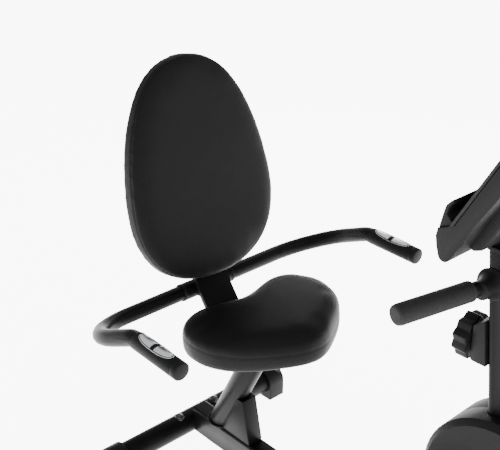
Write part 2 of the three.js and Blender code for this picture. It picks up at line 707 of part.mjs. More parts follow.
// A boxed control housing on the post's rear face, its top sloped away from the rider.
function tensionBlock() {
  const shape = new THREE.Shape();
  shape.moveTo(BLOCK_REAR_X + 3, BLOCK_BOTTOM);
  shape.lineTo(postRearX(BLOCK_BOTTOM) - GAP, BLOCK_BOTTOM);
  shape.lineTo(postRearX(BLOCK_TOP) - GAP, BLOCK_TOP);
  shape.lineTo(BLOCK_REAR_X + 16, BLOCK_TOP);
  shape.lineTo(BLOCK_REAR_X, BLOCK_TOP - 12);
  shape.lineTo(BLOCK_REAR_X, BLOCK_BOTTOM + 3);
  shape.closePath();
  return slab(shape, -BLOCK_WIDTH / 2, BLOCK_WIDTH / 2);
}

// A lobed hand knob whose axis runs along x; its back face is at x = 0 and it reaches towards -x.
function tensionKnob() {
  const lobes = 10;
  const points = [];
  for (let i = 0; i < lobes * 4; i += 1) {
    const angle = 2 * Math.PI * i / (lobes * 4);
    const r = KNOB_R - 2.5 + 2.5 * Math.cos(lobes * angle);
    points.push(new THREE.Vector2(r * Math.cos(angle), r * Math.sin(angle)));
  }
  const body = new THREE.ExtrudeGeometry(new THREE.Shape(points), {
    depth: KNOB_LENGTH - 7, bevelEnabled: true, bevelThickness: 2, bevelSize: 2, bevelOffset: -2,
    bevelSegments: 1,
  });
  body.rotateY(-Math.PI / 2).translate(-5, 0, 0);
  const hub = turnedX([[0, -6], [17, -6], [17, 0], [0, 0]], 24);
  return join(body, hub);
}

add(bike, 'front_post', frontPost(), blackPaint);
add(bike, 'tbar', join(tbarBar(TBAR_R, 6), tbarCollar(), mirrored(tbarCollar())), blackPaint);
add(bike, 'tension_block', tensionBlock(), blackPlastic);
add(bike, 'tension_knob', tensionKnob(), blackPlastic, { at: [BLOCK_REAR_X - GAP, 0, KNOB_Z] });

// A foam sleeve with a closed outer end; its axis is y, and the closed end is at y = 0.
function foamGrip() {
  const inner = TBAR_R + GAP;
  return turned([[0, -6 - GAP], [inner, -6 - GAP], [inner, -FOAM_LENGTH], [FOAM_R - 1, -FOAM_LENGTH],
    [FOAM_R, -FOAM_LENGTH + 1], [FOAM_R, -6], [FOAM_R - 1, -2], [FOAM_R - 4, 0], [0, 0]], 20);
}

for (const [side, sign] of SIDES) {
  const reachX = TBAR_X - TBAR_REACH * Math.tan(radians(TBAR_SWEEP));
  const turn = [0, 0, sign > 0 ? TBAR_SWEEP : 180 - TBAR_SWEEP];
  add(bike, `foam_grip_${side}`, foamGrip(), foam, { at: [reachX, sign * TBAR_REACH, TBAR_Z], turn });
}

// ---------------------------------------------------------------- drive: crank, belt, flywheel, brake

function bottomBracket() {
  const r = AXLE_R + GAP;
  return turned([[r, -BB_HALF], [BB_R, -BB_HALF], [BB_R, BB_HALF], [r, BB_HALF]], 28);
}

add(bike, 'bottom_bracket', bottomBracket(), blackPaint, { at: [CRANK_X, 0, CRANK_Z] });

const ARM_OUTER = CRANK_ARM_INNER + CRANK_ARM_THICKNESS;
const PEDAL_INNER = ARM_OUTER + 7;

function crankAxle() {
  return barY(AXLE_R, -CRANK_ARM_INNER + GAP, CRANK_ARM_INNER - GAP, 0, 0, 24);
}

// A left crank arm lying along +x from the axle, with the pedal's spindle.
function crankArm() {
  const outline = wrap([[0, 0, 18], [CRANK_LENGTH, 0, 13]]);
  const arm = slab(outline, CRANK_ARM_INNER, ARM_OUTER, 8);
  const spindle = barY(SPINDLE_R, ARM_OUTER - 2, PEDAL_INNER + PEDAL_WIDTH - 6, CRANK_LENGTH, 0, 20);
  const shoulder = barY(9, ARM_OUTER - 2, PEDAL_INNER - 1, CRANK_LENGTH, 0, 20);
  return join(arm, spindle, shoulder);
}

function drivePulley() {
  const half = BELT_WIDTH / 2 + 1.5;
  const bore = AXLE_R + GAP;
  return turned([[bore, -half], [PULLEY_R, -half], [PULLEY_R, half], [PULLEY_R - 10, half],
    [PULLEY_R - 12, 0], [32, 0], [30, half], [bore, half]], 36);
}

add(bike, 'crank_axle', crankAxle(), steel, { at: [CRANK_X, 0, CRANK_Z] });
add(bike, 'drive_pulley', drivePulley(), blackPlastic, { at: [CRANK_X, PULLEY_Y, CRANK_Z] });

function flywheel() {
  const half = FLYWHEEL_WIDTH / 2;
  const beltHalf = BELT_WIDTH / 2 + 1.5;
  const end = PULLEY_Y + beltHalf;
  return turned([[0, -21], [SHAFT_R, -21], [SHAFT_R, -half - 1], [24, -half - 1], [24, -5], [FLYWHEEL_R - 26, -5],
    [FLYWHEEL_R - 22, -half], [FLYWHEEL_R, -half], [FLYWHEEL_R, half], [FLYWHEEL_R - 22, half],
    [FLYWHEEL_R - 26, 5], [24, 5], [24, half + 1], [SHAFT_R, half + 1], [SHAFT_R, PULLEY_Y - beltHalf],
    [SMALL_PULLEY_R, PULLEY_Y - beltHalf], [SMALL_PULLEY_R, end], [0, end]], 32);
}

add(bike, 'flywheel', flywheel(), castIron, { at: [FLYWHEEL_X, 0, FLYWHEEL_Z] });

function driveBelt() {
  const pulleys = (extra) => [
    [CRANK_X, CRANK_Z, PULLEY_R + extra],
    [FLYWHEEL_X, FLYWHEEL_Z, SMALL_PULLEY_R + extra],
  ];
  const outer = wrap(pulleys(BELT_CLEARANCE + BELT_THICKNESS));
  outer.holes.push(wrap(pulleys(BELT_CLEARANCE)));
  return slab(outer, PULLEY_Y - BELT_WIDTH / 2, PULLEY_Y + BELT_WIDTH / 2, 10);
}

add(bike, 'drive_belt', driveBelt(), rubber);

const FORK_INNER = FLYWHEEL_WIDTH / 2 + 3;
const FORK_PLATE = 4;
const MAGNET_PIVOT_ANGLE = 124;
const MAGNET_PIVOT_R = FLYWHEEL_R + 22;
const magnetPivotX = FLYWHEEL_X + MAGNET_PIVOT_R * Math.cos(radians(MAGNET_PIVOT_ANGLE));
const magnetPivotZ = FLYWHEEL_Z + MAGNET_PIVOT_R * Math.sin(radians(MAGNET_PIVOT_ANGLE));

// Two plates joined by a bridge on the post's front face. They carry the flywheel's shaft and,
// between their upper horns, the pin that the brake arm swings on.
function flywheelFork() {
  const rootX = postFrontX(FLYWHEEL_Z) + 4;
  const outline = wrap([[rootX + 14, FLYWHEEL_Z - 20, 14], [FLYWHEEL_X, FLYWHEEL_Z, 22],
    [magnetPivotX, magnetPivotZ, 10], [rootX + 14, FLYWHEEL_Z + 45, 14]]);
  const outer = FORK_INNER + FORK_PLATE;
  const plates = cut(slab(outline, -outer, outer, 8), box([0, -FORK_INNER, 0], [2000, FORK_INNER, 999]));
  const bridge = box([postFrontX(FLYWHEEL_Z + 60), -outer, FLYWHEEL_Z - 30],
    [rootX + 22, outer, FLYWHEEL_Z + 55]);
  const pin = barY(BRAKE_PIN_R, -outer + 1, outer - 1, magnetPivotX, magnetPivotZ, 16);
  const shaftHole = barY(SHAFT_R + GAP, -99, 99, FLYWHEEL_X, FLYWHEEL_Z, 24);
  const pieces = [bridge, pin].reduce((sum, piece) => sum.add(toSolid(piece)), toSolid(plates));
  return cut(toGeometry(pieces), postBar(GAP), shaftHole);
}

// The magnet carrier: an arc over the flywheel's rim on a barrel round the pin.
function magnetArm() {
  const half = FORK_INNER - 1;
  const inner = FLYWHEEL_R + 4;
  const from = radians(68);
  const to = radians(112);
  const arc = new THREE.Shape();
  arc.absarc(FLYWHEEL_X, FLYWHEEL_Z, inner + 9, from, to, false);
  arc.absarc(FLYWHEEL_X, FLYWHEEL_Z, inner, to, from, true);
  arc.closePath();
  const ramp = wrap([[magnetPivotX, magnetPivotZ, 9],
    [FLYWHEEL_X + (inner + 4.5) * Math.cos(to), FLYWHEEL_Z + (inner + 4.5) * Math.sin(to), 4.5]]);
  const bore = barY(BRAKE_PIN_R + GAP, -99, 99, magnetPivotX, magnetPivotZ, 16);
  return cut(join(slab(arc, -half, half, 12), slab(ramp, -half, half, 6)), bore);
}

add(bike, 'flywheel_fork', flywheelFork(), blackPaint);
add(bike, 'magnet_arm', magnetArm(), steel);

// ---------------------------------------------------------------- pedals and straps

// A platform pedal round its spindle, which lies along y at x = z = 0; raised ribs give grip.
function pedal() {
  const low = PEDAL_INNER;
  const high = PEDAL_INNER + PEDAL_WIDTH;
  const platform = new THREE.ExtrudeGeometry(roundedRectangle(PEDAL_LENGTH, PEDAL_WIDTH, 14), {
    depth: PEDAL_HEIGHT, bevelEnabled: false, curveSegments: 5,
  }).translate(0, (low + high) / 2, -PEDAL_HEIGHT / 2);
  const cuts = [];
  const near = SPINDLE_R + 9;
  const far = PEDAL_LENGTH / 2 - 7;
  const halfWide = PEDAL_WIDTH / 8 - 4;
  for (const [from, to] of [[-far, -near], [near, far]]) {
    for (const row of [1, 2, 3]) {
      const y = low + row * PEDAL_WIDTH / 4;
      cuts.push(box([from, y - halfWide, -99], [to, y + halfWide, 99]));
    }
  }
  const bore = barY(SPINDLE_R + GAP, low - 1, high - 5, 0, 0, 20);
  return cut(platform, bore, ...cuts);
}

// The foot strap: a band that arches over the pedal from its inner to its outer side.
function footStrap() {
  const low = PEDAL_INNER - 3 - GAP;
  const high = PEDAL_INNER + PEDAL_WIDTH + 3 + GAP;
  const thick = 2.6;
  const base = -6;
  const rise = STRAP_RISE;
  const shape = new THREE.Shape();
  const arch = (y0, y1, top) => {
    const inwards = 12 * Math.sign(y1 - y0);
    shape.lineTo(y0, 14);
    shape.bezierCurveTo(y0, top, y0 + inwards, top, (y0 + y1) / 2, top);
    shape.bezierCurveTo(y1 - inwards, top, y1, top, y1, 14);
    shape.lineTo(y1, base);
  };
  shape.moveTo(high, base);
  arch(high, low, rise);
  shape.lineTo(low + thick, base);
  arch(low + thick, high - thick, rise - thick);
  shape.closePath();
  const band = new THREE.ExtrudeGeometry(shape, { depth: STRAP_WIDTH, bevelEnabled: false, curveSegments: 8 });
  return band.rotateX(Math.PI / 2).rotateZ(Math.PI / 2).translate(10, 0, 0);
}

for (const [side, sign] of SIDES) {
  const turn = radians(sign > 0 ? CRANK_ANGLE : 180 + CRANK_ANGLE);
  const arm = crankArm().rotateY(-turn);
  add(bike, `crank_arm_${side}`, sign > 0 ? arm : mirrored(arm), blackPaint, { at: [CRANK_X, 0, CRANK_Z] });
  const at = [CRANK_X + CRANK_LENGTH * Math.cos(turn), 0, CRANK_Z + CRANK_LENGTH * Math.sin(turn)];
  add(bike, `pedal_${side}`, sign > 0 ? pedal() : mirrored(pedal()), blackPlastic, { at });
  add(bike, `foot_strap_${side}`, sign > 0 ? footStrap() : mirrored(footStrap()), rubber, { at });
}

// ---------------------------------------------------------------- drive housing

const housingCircles = (shrink) => [
  [CRANK_X - 22, BEAM_TOP + 8 + 26, 26 - shrink],
  [FLYWHEEL_X, FLYWHEEL_Z, FLYWHEEL_R + HOUSING_MARGIN - shrink],
  [CRANK_X, CRANK_Z, PULLEY_R + 27 - shrink],
];

function housingBlock(shrink) {
  const half = HOUSING_HALF - shrink;
  const edge = 9 - shrink;
  const block = new THREE.ExtrudeGeometry(wrap(housingCircles(shrink)), {
    depth: 2 * (half - edge), bevelEnabled: true, bevelThickness: edge, bevelSize: edge, bevelOffset: -edge,
    bevelSegments: 1, curveSegments: 9,
  });
  return block.rotateX(Math.PI / 2).translate(0, half - edge, 0);
}

// One half of the housing: a thin shell, open towards the middle, cut round the post and the axle.
function housingHalf(sign) {
  const half = sign > 0
    ? box([0, GAP / 2, 0], [2000, 99, 900])
    : box([0, -99, 0], [2000, -GAP / 2, 900]);
  const axleHole = barY(14, -99, 99, CRANK_X, CRANK_Z, 20);
  const shell = cut(housingBlock(0), housingBlock(HOUSING_WALL), postBar(1), axleHole);
  return keep(shell, half);
}

for (const [side, sign] of SIDES) {
  add(bike, `housing_${side}`, housingHalf(sign), blackPlastic);
}

// ---------------------------------------------------------------- console

// Inside this group z runs up along the face, +x goes into the console, and the face is at x = 0.
const CONSOLE_X = postX(POST_TOP_Z) - CONSOLE_SETBACK;
const CONSOLE_Z = POST_TOP_Z + CONSOLE_ABOVE_TOP;
const console3d = new THREE.Group();
console3d.position.set(CONSOLE_X, 0, CONSOLE_Z);
console3d.rotation.y = radians(CONSOLE_TILT);
bike.add(console3d);

const CONSOLE_HEIGHT = CONSOLE_HIGH - CONSOLE_LOW;
const CONSOLE_MIDDLE = (CONSOLE_HIGH + CONSOLE_LOW) / 2;
const SCREEN_WIDTH = 150;
const SCREEN_HEIGHT = 78;
const SCREEN_Z = CONSOLE_HIGH - 70;
const BUTTON_Z = SCREEN_Z - SCREEN_HEIGHT / 2 - 19;
const BUTTON_PITCH = 34;
const BUTTON_WIDTH = 20;
const BUTTON_HEIGHT = 11;
const LEDGE_INSET = 3;

// A rounded plate standing in y and z, between two x.
function facePlate(width, height, r, from, to, y = 0, z = 0, curveSegments = 3) {
  const plate = new THREE.ExtrudeGeometry(roundedRectangle(width, height, r), {
    depth: to - from, bevelEnabled: false, curveSegments,
  });
  return plate.rotateX(Math.PI / 2).rotateZ(Math.PI / 2).translate(from, y, z);
}

// The four holes that the buttons sit in, side by side.
function buttonWells(from, to) {
  return [-1.5, -0.5, 0.5, 1.5].map((place) => facePlate(
    BUTTON_WIDTH + 2 * GAP, BUTTON_HEIGHT + 2 * GAP, 5, from, to, place * BUTTON_PITCH, BUTTON_Z));
}

function consoleFront() {
  const plate = facePlate(CONSOLE_WIDTH, CONSOLE_HEIGHT, CONSOLE_CORNER, 0, FACE_THICKNESS, 0, CONSOLE_MIDDLE);
  const window = facePlate(SCREEN_WIDTH + 2 * GAP, SCREEN_HEIGHT + 2 * GAP, 6 + GAP, -1, 99, 0, SCREEN_Z);
  const wells = buttonWells(-1, 99);
  return cut(plate, window, ...wells);
}

// The rear shell: a straight side wall, then a back that draws in, with two lugs round the pivot.
function consoleBack() {
  const start = FACE_THICKNESS + GAP;
  const ring = (width, low, high, r, x) => {
    const shape = roundedRectangle(width, high - low, r);
    return shape.getPoints(3).slice(0, -1).map((p) => new THREE.Vector3(x, p.x, p.y + (low + high) / 2));
  };
  const sections = [
    ring(CONSOLE_WIDTH, CONSOLE_LOW, CONSOLE_HIGH, CONSOLE_CORNER, start),
    ring(CONSOLE_WIDTH, CONSOLE_LOW, CONSOLE_HIGH, CONSOLE_CORNER, CONSOLE_WALL),
    ring(CONSOLE_WIDTH - 70, CONSOLE_LOW + 14, CONSOLE_HIGH - 42, 22, CONSOLE_DEPTH),
  ];
  const wells = buttonWells(0, start + 4);
  const pocket = facePlate(SCREEN_WIDTH + 2 * GAP, SCREEN_HEIGHT + 2 * GAP, 6, 0, start + 3, 0, SCREEN_Z);
  const body = cut(loft(sections), pocket, ...wells);
  const lugShape = wrap([[TILT_X, TILT_Z, 11], [CONSOLE_WALL, 24, 10], [CONSOLE_WALL, -22, 10]]);
  const lug = (from, to) => slab(lugShape, from, to, 8);
  const pin = barY(TILT_PIN_R, -30, 30, TILT_X, TILT_Z, 16);
  return join(body, lug(17, 27), lug(-27, -17), pin);
}

// Closes a row of rings, each with the same number of points, into one body.
function loft(rings) {
  const count = rings[0].length;
  const points = rings.flat();
  const first = points.length;
  const centre = (ring) => ring.reduce((sum, p) => sum.add(p), new THREE.Vector3()).divideScalar(count);
  points.push(centre(rings[0]), centre(rings[rings.length - 1]));
  const faces = [];
  for (let i = 0; i < count; i += 1) {
    const next = (i + 1) % count;
    for (let row = 0; row + 1 < rings.length; row += 1) {
      const a = row * count;
      const b = a + count;
      faces.push(a + i, a + next, b + next, a + i, b + next, b + i);
    }
    const last = (rings.length - 1) * count;
    faces.push(first, next, i, first + 1, last + i, last + next);
  }
  const geometry = new THREE.BufferGeometry().setFromPoints(points);
  geometry.setIndex(faces);
  geometry.computeVertexNormals();
  return geometry;
}

// The tablet ledge: a foot on the face and a raised lip, with a slot between lip and face.
function tabletLedge() {
  const shape = new THREE.Shape();
  shape.moveTo(-GAP, -42);
  shape.lineTo(-8, -33);
  shape.lineTo(-13, -20);
  shape.lineTo(-21, 12);
  shape.lineTo(-18, 25);
  shape.lineTo(-14.5, 26);
  shape.lineTo(-16.5, 12);
  shape.lineTo(-13, 3);
  shape.lineTo(-GAP, 0);
  shape.closePath();
  const half = CONSOLE_WIDTH / 2 - LEDGE_INSET;
  return slab(shape, -half, half);
}

// A push button; its face stands 2 proud of the console's.
function consoleButton() {
  return facePlate(BUTTON_WIDTH, BUTTON_HEIGHT, 5 - GAP, -2, FACE_THICKNESS + 0.5);
}

add(console3d, 'console_front', consoleFront(), blackPlastic);
add(console3d, 'console_back', consoleBack(), greyPlastic);
const screenPlate = facePlate(SCREEN_WIDTH, SCREEN_HEIGHT, 6, 0.8, FACE_THICKNESS + 2, 0, SCREEN_Z);
add(console3d, 'console_screen', screenPlate, screenGlass);
add(console3d, 'tablet_ledge', tabletLedge(), blackPlastic);
[-1.5, -0.5, 0.5, 1.5].forEach((place, i) => {
  const at = [0, place * BUTTON_PITCH, BUTTON_Z];
  add(console3d, `console_button_${i + 1}`, consoleButton(), greyPlastic, { at });
});

// The mount: a cap over the post's top and a neck up to the barrel that the console tilts on.
function consoleMount() {
  const tilt = radians(CONSOLE_TILT);
  const pivotX = CONSOLE_X + TILT_X * Math.cos(tilt) + TILT_Z * Math.sin(tilt);
  const pivotZ = CONSOLE_Z - TILT_X * Math.sin(tilt) + TILT_Z * Math.cos(tilt);
  const base = POST_TOP_Z + GAP;
  const cap = new THREE.ExtrudeGeometry(roundedRectangle(POST_DEPTH + 6, POST_WIDTH + 6, 11), {
    depth: 6, bevelEnabled: false, curveSegments: 4,
  }).translate(postX(POST_TOP_Z), 0, base);
  const root = [[pivotX - 16, base + 5, 6], [pivotX + 8, base + 5, 6]];
  const neck = slab(wrap([...root, [pivotX, pivotZ, TILT_R]]), -14, 14, 8);
  const below = box([500, -99, 0], [1000, 99, base]);
  return cut(join(cap, neck), barY(TILT_PIN_R + GAP, -99, 99, pivotX, pivotZ, 16), below);
}

add(bike, 'console_mount', consoleMount(), blackPaint);

// ---------------------------------------------------------------- centre the bike on its origin

bike.position.x = -(bikeRear() + bikeFront()) / 2;

function bikeRear() {
  const a = radians(BACK_LEAN);
  const box3 = new THREE.Box3().setFromObject(backrest, true);
  const footRear = REAR_STABILIZER_X - FOOT_HALF_DEPTH;
  return Math.min(box3.min.x, BEAM_REAR, footRear, BACK_BASE_X - BACK_HEIGHT * Math.sin(a));
}

function bikeFront() {
  return FRONT_STABILIZER_X + Math.max(LUG_LENGTH, WHEEL_OFFSET + TRANSPORT_WHEEL_R);
}

export default bike;
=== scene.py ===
import json
import math

import bpy
from mathutils import Matrix, Vector

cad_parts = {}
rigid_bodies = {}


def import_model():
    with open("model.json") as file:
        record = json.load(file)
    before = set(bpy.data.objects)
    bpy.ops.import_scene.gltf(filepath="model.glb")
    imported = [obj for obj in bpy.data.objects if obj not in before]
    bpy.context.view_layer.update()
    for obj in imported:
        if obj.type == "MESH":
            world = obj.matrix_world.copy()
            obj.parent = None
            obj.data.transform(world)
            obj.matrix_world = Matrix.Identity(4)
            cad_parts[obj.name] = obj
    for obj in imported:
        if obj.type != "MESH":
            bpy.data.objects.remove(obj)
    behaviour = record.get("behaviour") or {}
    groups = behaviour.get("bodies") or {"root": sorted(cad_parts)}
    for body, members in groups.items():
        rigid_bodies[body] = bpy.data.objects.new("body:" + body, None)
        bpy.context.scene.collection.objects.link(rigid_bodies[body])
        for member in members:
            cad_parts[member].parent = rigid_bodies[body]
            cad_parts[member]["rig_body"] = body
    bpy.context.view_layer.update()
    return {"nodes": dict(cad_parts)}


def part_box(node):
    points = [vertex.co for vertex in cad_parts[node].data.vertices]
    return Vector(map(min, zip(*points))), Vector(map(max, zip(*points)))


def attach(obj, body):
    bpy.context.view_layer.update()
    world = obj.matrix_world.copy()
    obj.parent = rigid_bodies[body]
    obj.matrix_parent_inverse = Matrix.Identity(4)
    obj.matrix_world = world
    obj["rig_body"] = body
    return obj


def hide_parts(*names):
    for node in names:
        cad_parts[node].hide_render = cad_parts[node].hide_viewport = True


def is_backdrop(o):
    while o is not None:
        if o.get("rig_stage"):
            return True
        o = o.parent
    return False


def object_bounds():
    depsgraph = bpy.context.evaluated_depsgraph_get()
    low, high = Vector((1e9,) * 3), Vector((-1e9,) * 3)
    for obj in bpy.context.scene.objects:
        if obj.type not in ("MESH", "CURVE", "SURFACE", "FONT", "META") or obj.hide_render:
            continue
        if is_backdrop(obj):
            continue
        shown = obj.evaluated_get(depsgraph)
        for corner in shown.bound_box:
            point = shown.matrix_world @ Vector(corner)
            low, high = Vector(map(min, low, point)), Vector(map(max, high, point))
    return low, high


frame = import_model()
bpy.ops.object.select_all(action="DESELECT")


# ---- Room: a pale seamless floor, soft light and the camera.
# The bike stands in a white studio: one wide light hangs overhead in front of it, and a long strip
# behind draws the thin highlights along the tubes. The floor is bright paper that fills from below.

def linear(code):
    """An sRGB hex colour as linear red, green, blue and alpha."""
    parts = [int(code[i:i + 2], 16) / 255 for i in (1, 3, 5)]
    return (*[c / 12.92 if c < 0.04045 else ((c + 0.055) / 1.055) ** 2.4 for c in parts], 1)


def node(material, kind, settings=(), links=()):
    """Adds a node; settings are (name, value), links are (input, node, output)."""
    made = material.node_tree.nodes.new(kind)
    for name, value in settings:
        if isinstance(name, str) and hasattr(made, name):
            setattr(made, name, value)
        else:
            made.inputs[name].default_value = value
    for name, other, output in links:
        material.node_tree.links.new(other.outputs[output], made.inputs[name])
    return made


def material_named(name, settings):
    """A new material and its shader, with the settings put on the shader's own sockets."""
    made = bpy.data.materials.new(name)
    made.use_nodes = True
    shader = made.node_tree.nodes["Principled BSDF"]
    for socket, value in settings:
        shader.inputs[socket].default_value = value
    return made, shader


# Seamless background paper: fully matt, and lit from within so that it stays near white.
FLOOR_SIZE = 40
bpy.ops.mesh.primitive_plane_add(size=FLOOR_SIZE, location=(0, 0, -0.001))
floor = bpy.context.object
floor.name = "studio_floor"
floor_paper, shader = material_named("seamless_paper", [
    ("Base Color", linear("#f6f6f6")), ("Roughness", 1.0), ("Specular IOR Level", 0.0),
    ("Emission Color", linear("#ffffff")), ("Emission Strength", 8.0)])
floor.data.materials.append(floor_paper)
floor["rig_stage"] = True

world = bpy.data.worlds.new("studio")
bpy.context.scene.world = world
world.use_nodes = True
world.node_tree.nodes["Background"].inputs["Color"].default_value = linear("#ffffff")
world.node_tree.nodes["Background"].inputs["Strength"].default_value = 1.3


def soft_light(name, place, target, width, height, power):
    """A rectangular light that faces a point."""
    place = Vector(place)
    turn = (Vector(target) - place).to_track_quat("-Z", "Y").to_euler()
    bpy.ops.object.light_add(type="AREA", location=place, rotation=turn)
    light = bpy.context.object
    light.name = name
    light.data.shape = "RECTANGLE"
    light.data.size = width
    light.data.size_y = height
    light.data.energy = power


soft_light("overhead", (0.9, -0.3, 2.4), (-0.3, 0, 0.4), 2.0, 1.6, 20)
soft_light("back_strip", (-1.6, 1.6, 1.3), (-0.4, 0, 0.5), 0.5, 1.8, 10)

CAMERA_PLACE = Vector((0.6845, -1.0162, 1.2627))
VIEW_DIRECTION = Vector((-0.6688, 0.6106, -0.4242))
bpy.ops.object.camera_add(location=CAMERA_PLACE,
                          rotation=VIEW_DIRECTION.to_track_quat("-Z", "Y").to_euler())
camera = bpy.context.object
camera.data.sensor_width = 36
camera.data.lens = 66.23
bpy.context.scene.camera = camera


# ---- Floor tubes, main beam, slanted leg and gusset.
# Mild steel tube and folded plate, welded together and powder coated satin black in one go, so
# the welds show as soft beads under the same coat.

# Polyester powder coat on steel: orange peel skin, and a gloss that varies where hands have been.
powder_coat, shader = material_named("powder_coated_steel", [
    ("Base Color", linear("#090909")), ("Specular IOR Level", 0.04)])
place = node(powder_coat, "ShaderNodeTexCoord")
peel = node(powder_coat, "ShaderNodeTexNoise", [("Scale", 900), ("Detail", 2)],
            [("Vector", place, "Object")])
handling = node(powder_coat, "ShaderNodeTexNoise", [("Scale", 22), ("Detail", 4)],
                [("Vector", place, "Object")])
gloss = node(powder_coat, "ShaderNodeMapRange", [("To Min", 0.34), ("To Max", 0.5)],
             [("Value", handling, "Fac")])
skin = node(powder_coat, "ShaderNodeBump", [("Strength", 0.12), ("Distance", 0.0004)],
            [("Height", peel, "Fac")])
shade = node(powder_coat, "ShaderNodeMix", [("data_type", "RGBA"), ("blend_type", "MIX"),
                                            (6, linear("#060606")), (7, linear("#0b0b0c"))],
             [(0, handling, "Fac")])
powder_coat.node_tree.links.new(shade.outputs[2], shader.inputs["Base Color"])
powder_coat.node_tree.links.new(gloss.outputs[0], shader.inputs["Roughness"])
powder_coat.node_tree.links.new(skin.outputs[0], shader.inputs["Normal"])


def only(piece):
    """Makes one object the selected and active one."""
    bpy.ops.object.select_all(action="DESELECT")
    piece.select_set(True)
    bpy.context.view_layer.objects.active = piece


def apply_all(piece):
    """Applies every modifier on a piece."""
    only(piece)
    for modifier in list(piece.modifiers):
        bpy.ops.object.modifier_apply(modifier=modifier.name)


def body_of(name):
    return frame["nodes"][name]["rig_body"]


def dress(name, material, edge=0.001, segments=2, turn=32, smooth=38):
    """A merged copy of a CAD node with its sharp edges rounded over, in the finish given."""
    piece = bpy.data.objects.new(name + "_finished", frame["nodes"][name].data.copy())
    bpy.context.scene.collection.objects.link(piece)
    piece.data.materials.clear()
    piece.data.materials.append(material)
    only(piece)
    bpy.ops.object.mode_set(mode="EDIT")
    bpy.ops.mesh.select_all(action="SELECT")
    bpy.ops.mesh.remove_doubles(threshold=0.00002)
    bpy.ops.mesh.dissolve_limited(angle_limit=math.radians(1.2))
    bpy.ops.object.mode_set(mode="OBJECT")
    if edge:
        rounding = piece.modifiers.new("rounding", "BEVEL")
        rounding.width = edge
        rounding.segments = segments
        rounding.limit_method = "ANGLE"
        rounding.angle_limit = math.radians(turn)
        apply_all(piece)
    bpy.ops.object.shade_smooth_by_angle(angle=math.radians(smooth))
    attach(piece, body_of(name))
    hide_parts(name)
    return piece


for name in ("rear_stabilizer", "front_stabilizer", "main_beam", "rear_leg", "leg_gusset"):
    dress(name, powder_coat, 0.0015)


# A soft fillet weld round the foot of the leg.
leg_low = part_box("rear_leg")[0]
LEG_RADIUS = 0.025
LEG_LEAN = math.radians(63)
BEAD = 0.003
BEAD_CORNERS = 8


def bead_ring(name, centre, radius_x, radius_y, body):
    """A weld bead: a thin ring, laid flat round a tube's foot and rippled like a row of coins."""
    bpy.ops.mesh.primitive_torus_add(major_radius=1, minor_radius=BEAD / radius_y,
                                     major_segments=72, minor_segments=BEAD_CORNERS)
    ring = bpy.context.object
    ring.name = name
    for i, corner in enumerate(ring.data.vertices):
        step = (i // BEAD_CORNERS) % 3
        corner.co.z *= radius_y * (1.15 if step else 0.8)
        corner.co.x *= radius_x
        corner.co.y *= radius_y
    ring.data.transform(Matrix.Translation(centre))
    ring.data.materials.append(powder_coat)
    bpy.ops.object.shade_smooth()
    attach(ring, body)


leg_reach = LEG_RADIUS / math.sin(LEG_LEAN)
leg_foot = Vector((leg_low.x + leg_reach, 0, leg_low.z + 0.0005))
bead_ring("weld_leg_foot", leg_foot, leg_reach + 0.001, LEG_RADIUS + 0.001, "frame")


# ---- Feet and their bolts.
# Injection-moulded plastic shoes pushed over the ends of the floor tubes, with a fine spark
# texture. Two domed bolts, zinc plated and blackened, sit on each tube beside the beam.

# Moulded ABS with a spark-eroded texture: a fine matt grain over slow changes of gloss.
moulded_black, shader = material_named("moulded_abs_black", [
    ("Base Color", linear("#0f0f10")), ("Specular IOR Level", 0.05)])
place = node(moulded_black, "ShaderNodeTexCoord")
spark = node(moulded_black, "ShaderNodeTexVoronoi", [("Scale", 1100)], [("Vector", place, "Object")])
flow = node(moulded_black, "ShaderNodeTexNoise", [("Scale", 14), ("Detail", 5)],
            [("Vector", place, "Object")])
texture = node(moulded_black, "ShaderNodeBump", [("Strength", 0.22), ("Distance", 0.0003)],
               [("Height", spark, "Distance")])
gloss = node(moulded_black, "ShaderNodeMapRange", [("To Min", 0.46), ("To Max", 0.62)],
             [("Value", flow, "Fac")])
shade = node(moulded_black, "ShaderNodeMix", [("data_type", "RGBA"), (6, linear("#0a0a0b")),
                                              (7, linear("#121213"))], [(0, flow, "Fac")])
moulded_black.node_tree.links.new(shade.outputs[2], shader.inputs["Base Color"])
moulded_black.node_tree.links.new(gloss.outputs[0], shader.inputs["Roughness"])
moulded_black.node_tree.links.new(texture.outputs[0], shader.inputs["Normal"])

# Zinc plate, chemically blackened: a dark metal with small cloudy spots.
blackened_zinc, shader = material_named("blackened_zinc_steel", [
    ("Base Color", linear("#3a3b3d")), ("Metallic", 1.0), ("Roughness", 0.38)])
place = node(blackened_zinc, "ShaderNodeTexCoord")
spots = node(blackened_zinc, "ShaderNodeTexNoise", [("Scale", 260), ("Detail", 3)],
             [("Vector", place, "Object")])
gloss = node(blackened_zinc, "ShaderNodeMapRange", [("To Min", 0.28), ("To Max", 0.5)],
             [("Value", spots, "Fac")])
blackened_zinc.node_tree.links.new(gloss.outputs[0], shader.inputs["Roughness"])

for name in ("rear_foot_left", "rear_foot_right", "front_foot_left", "front_foot_right"):
    dress(name, moulded_black, 0.0018, 3)


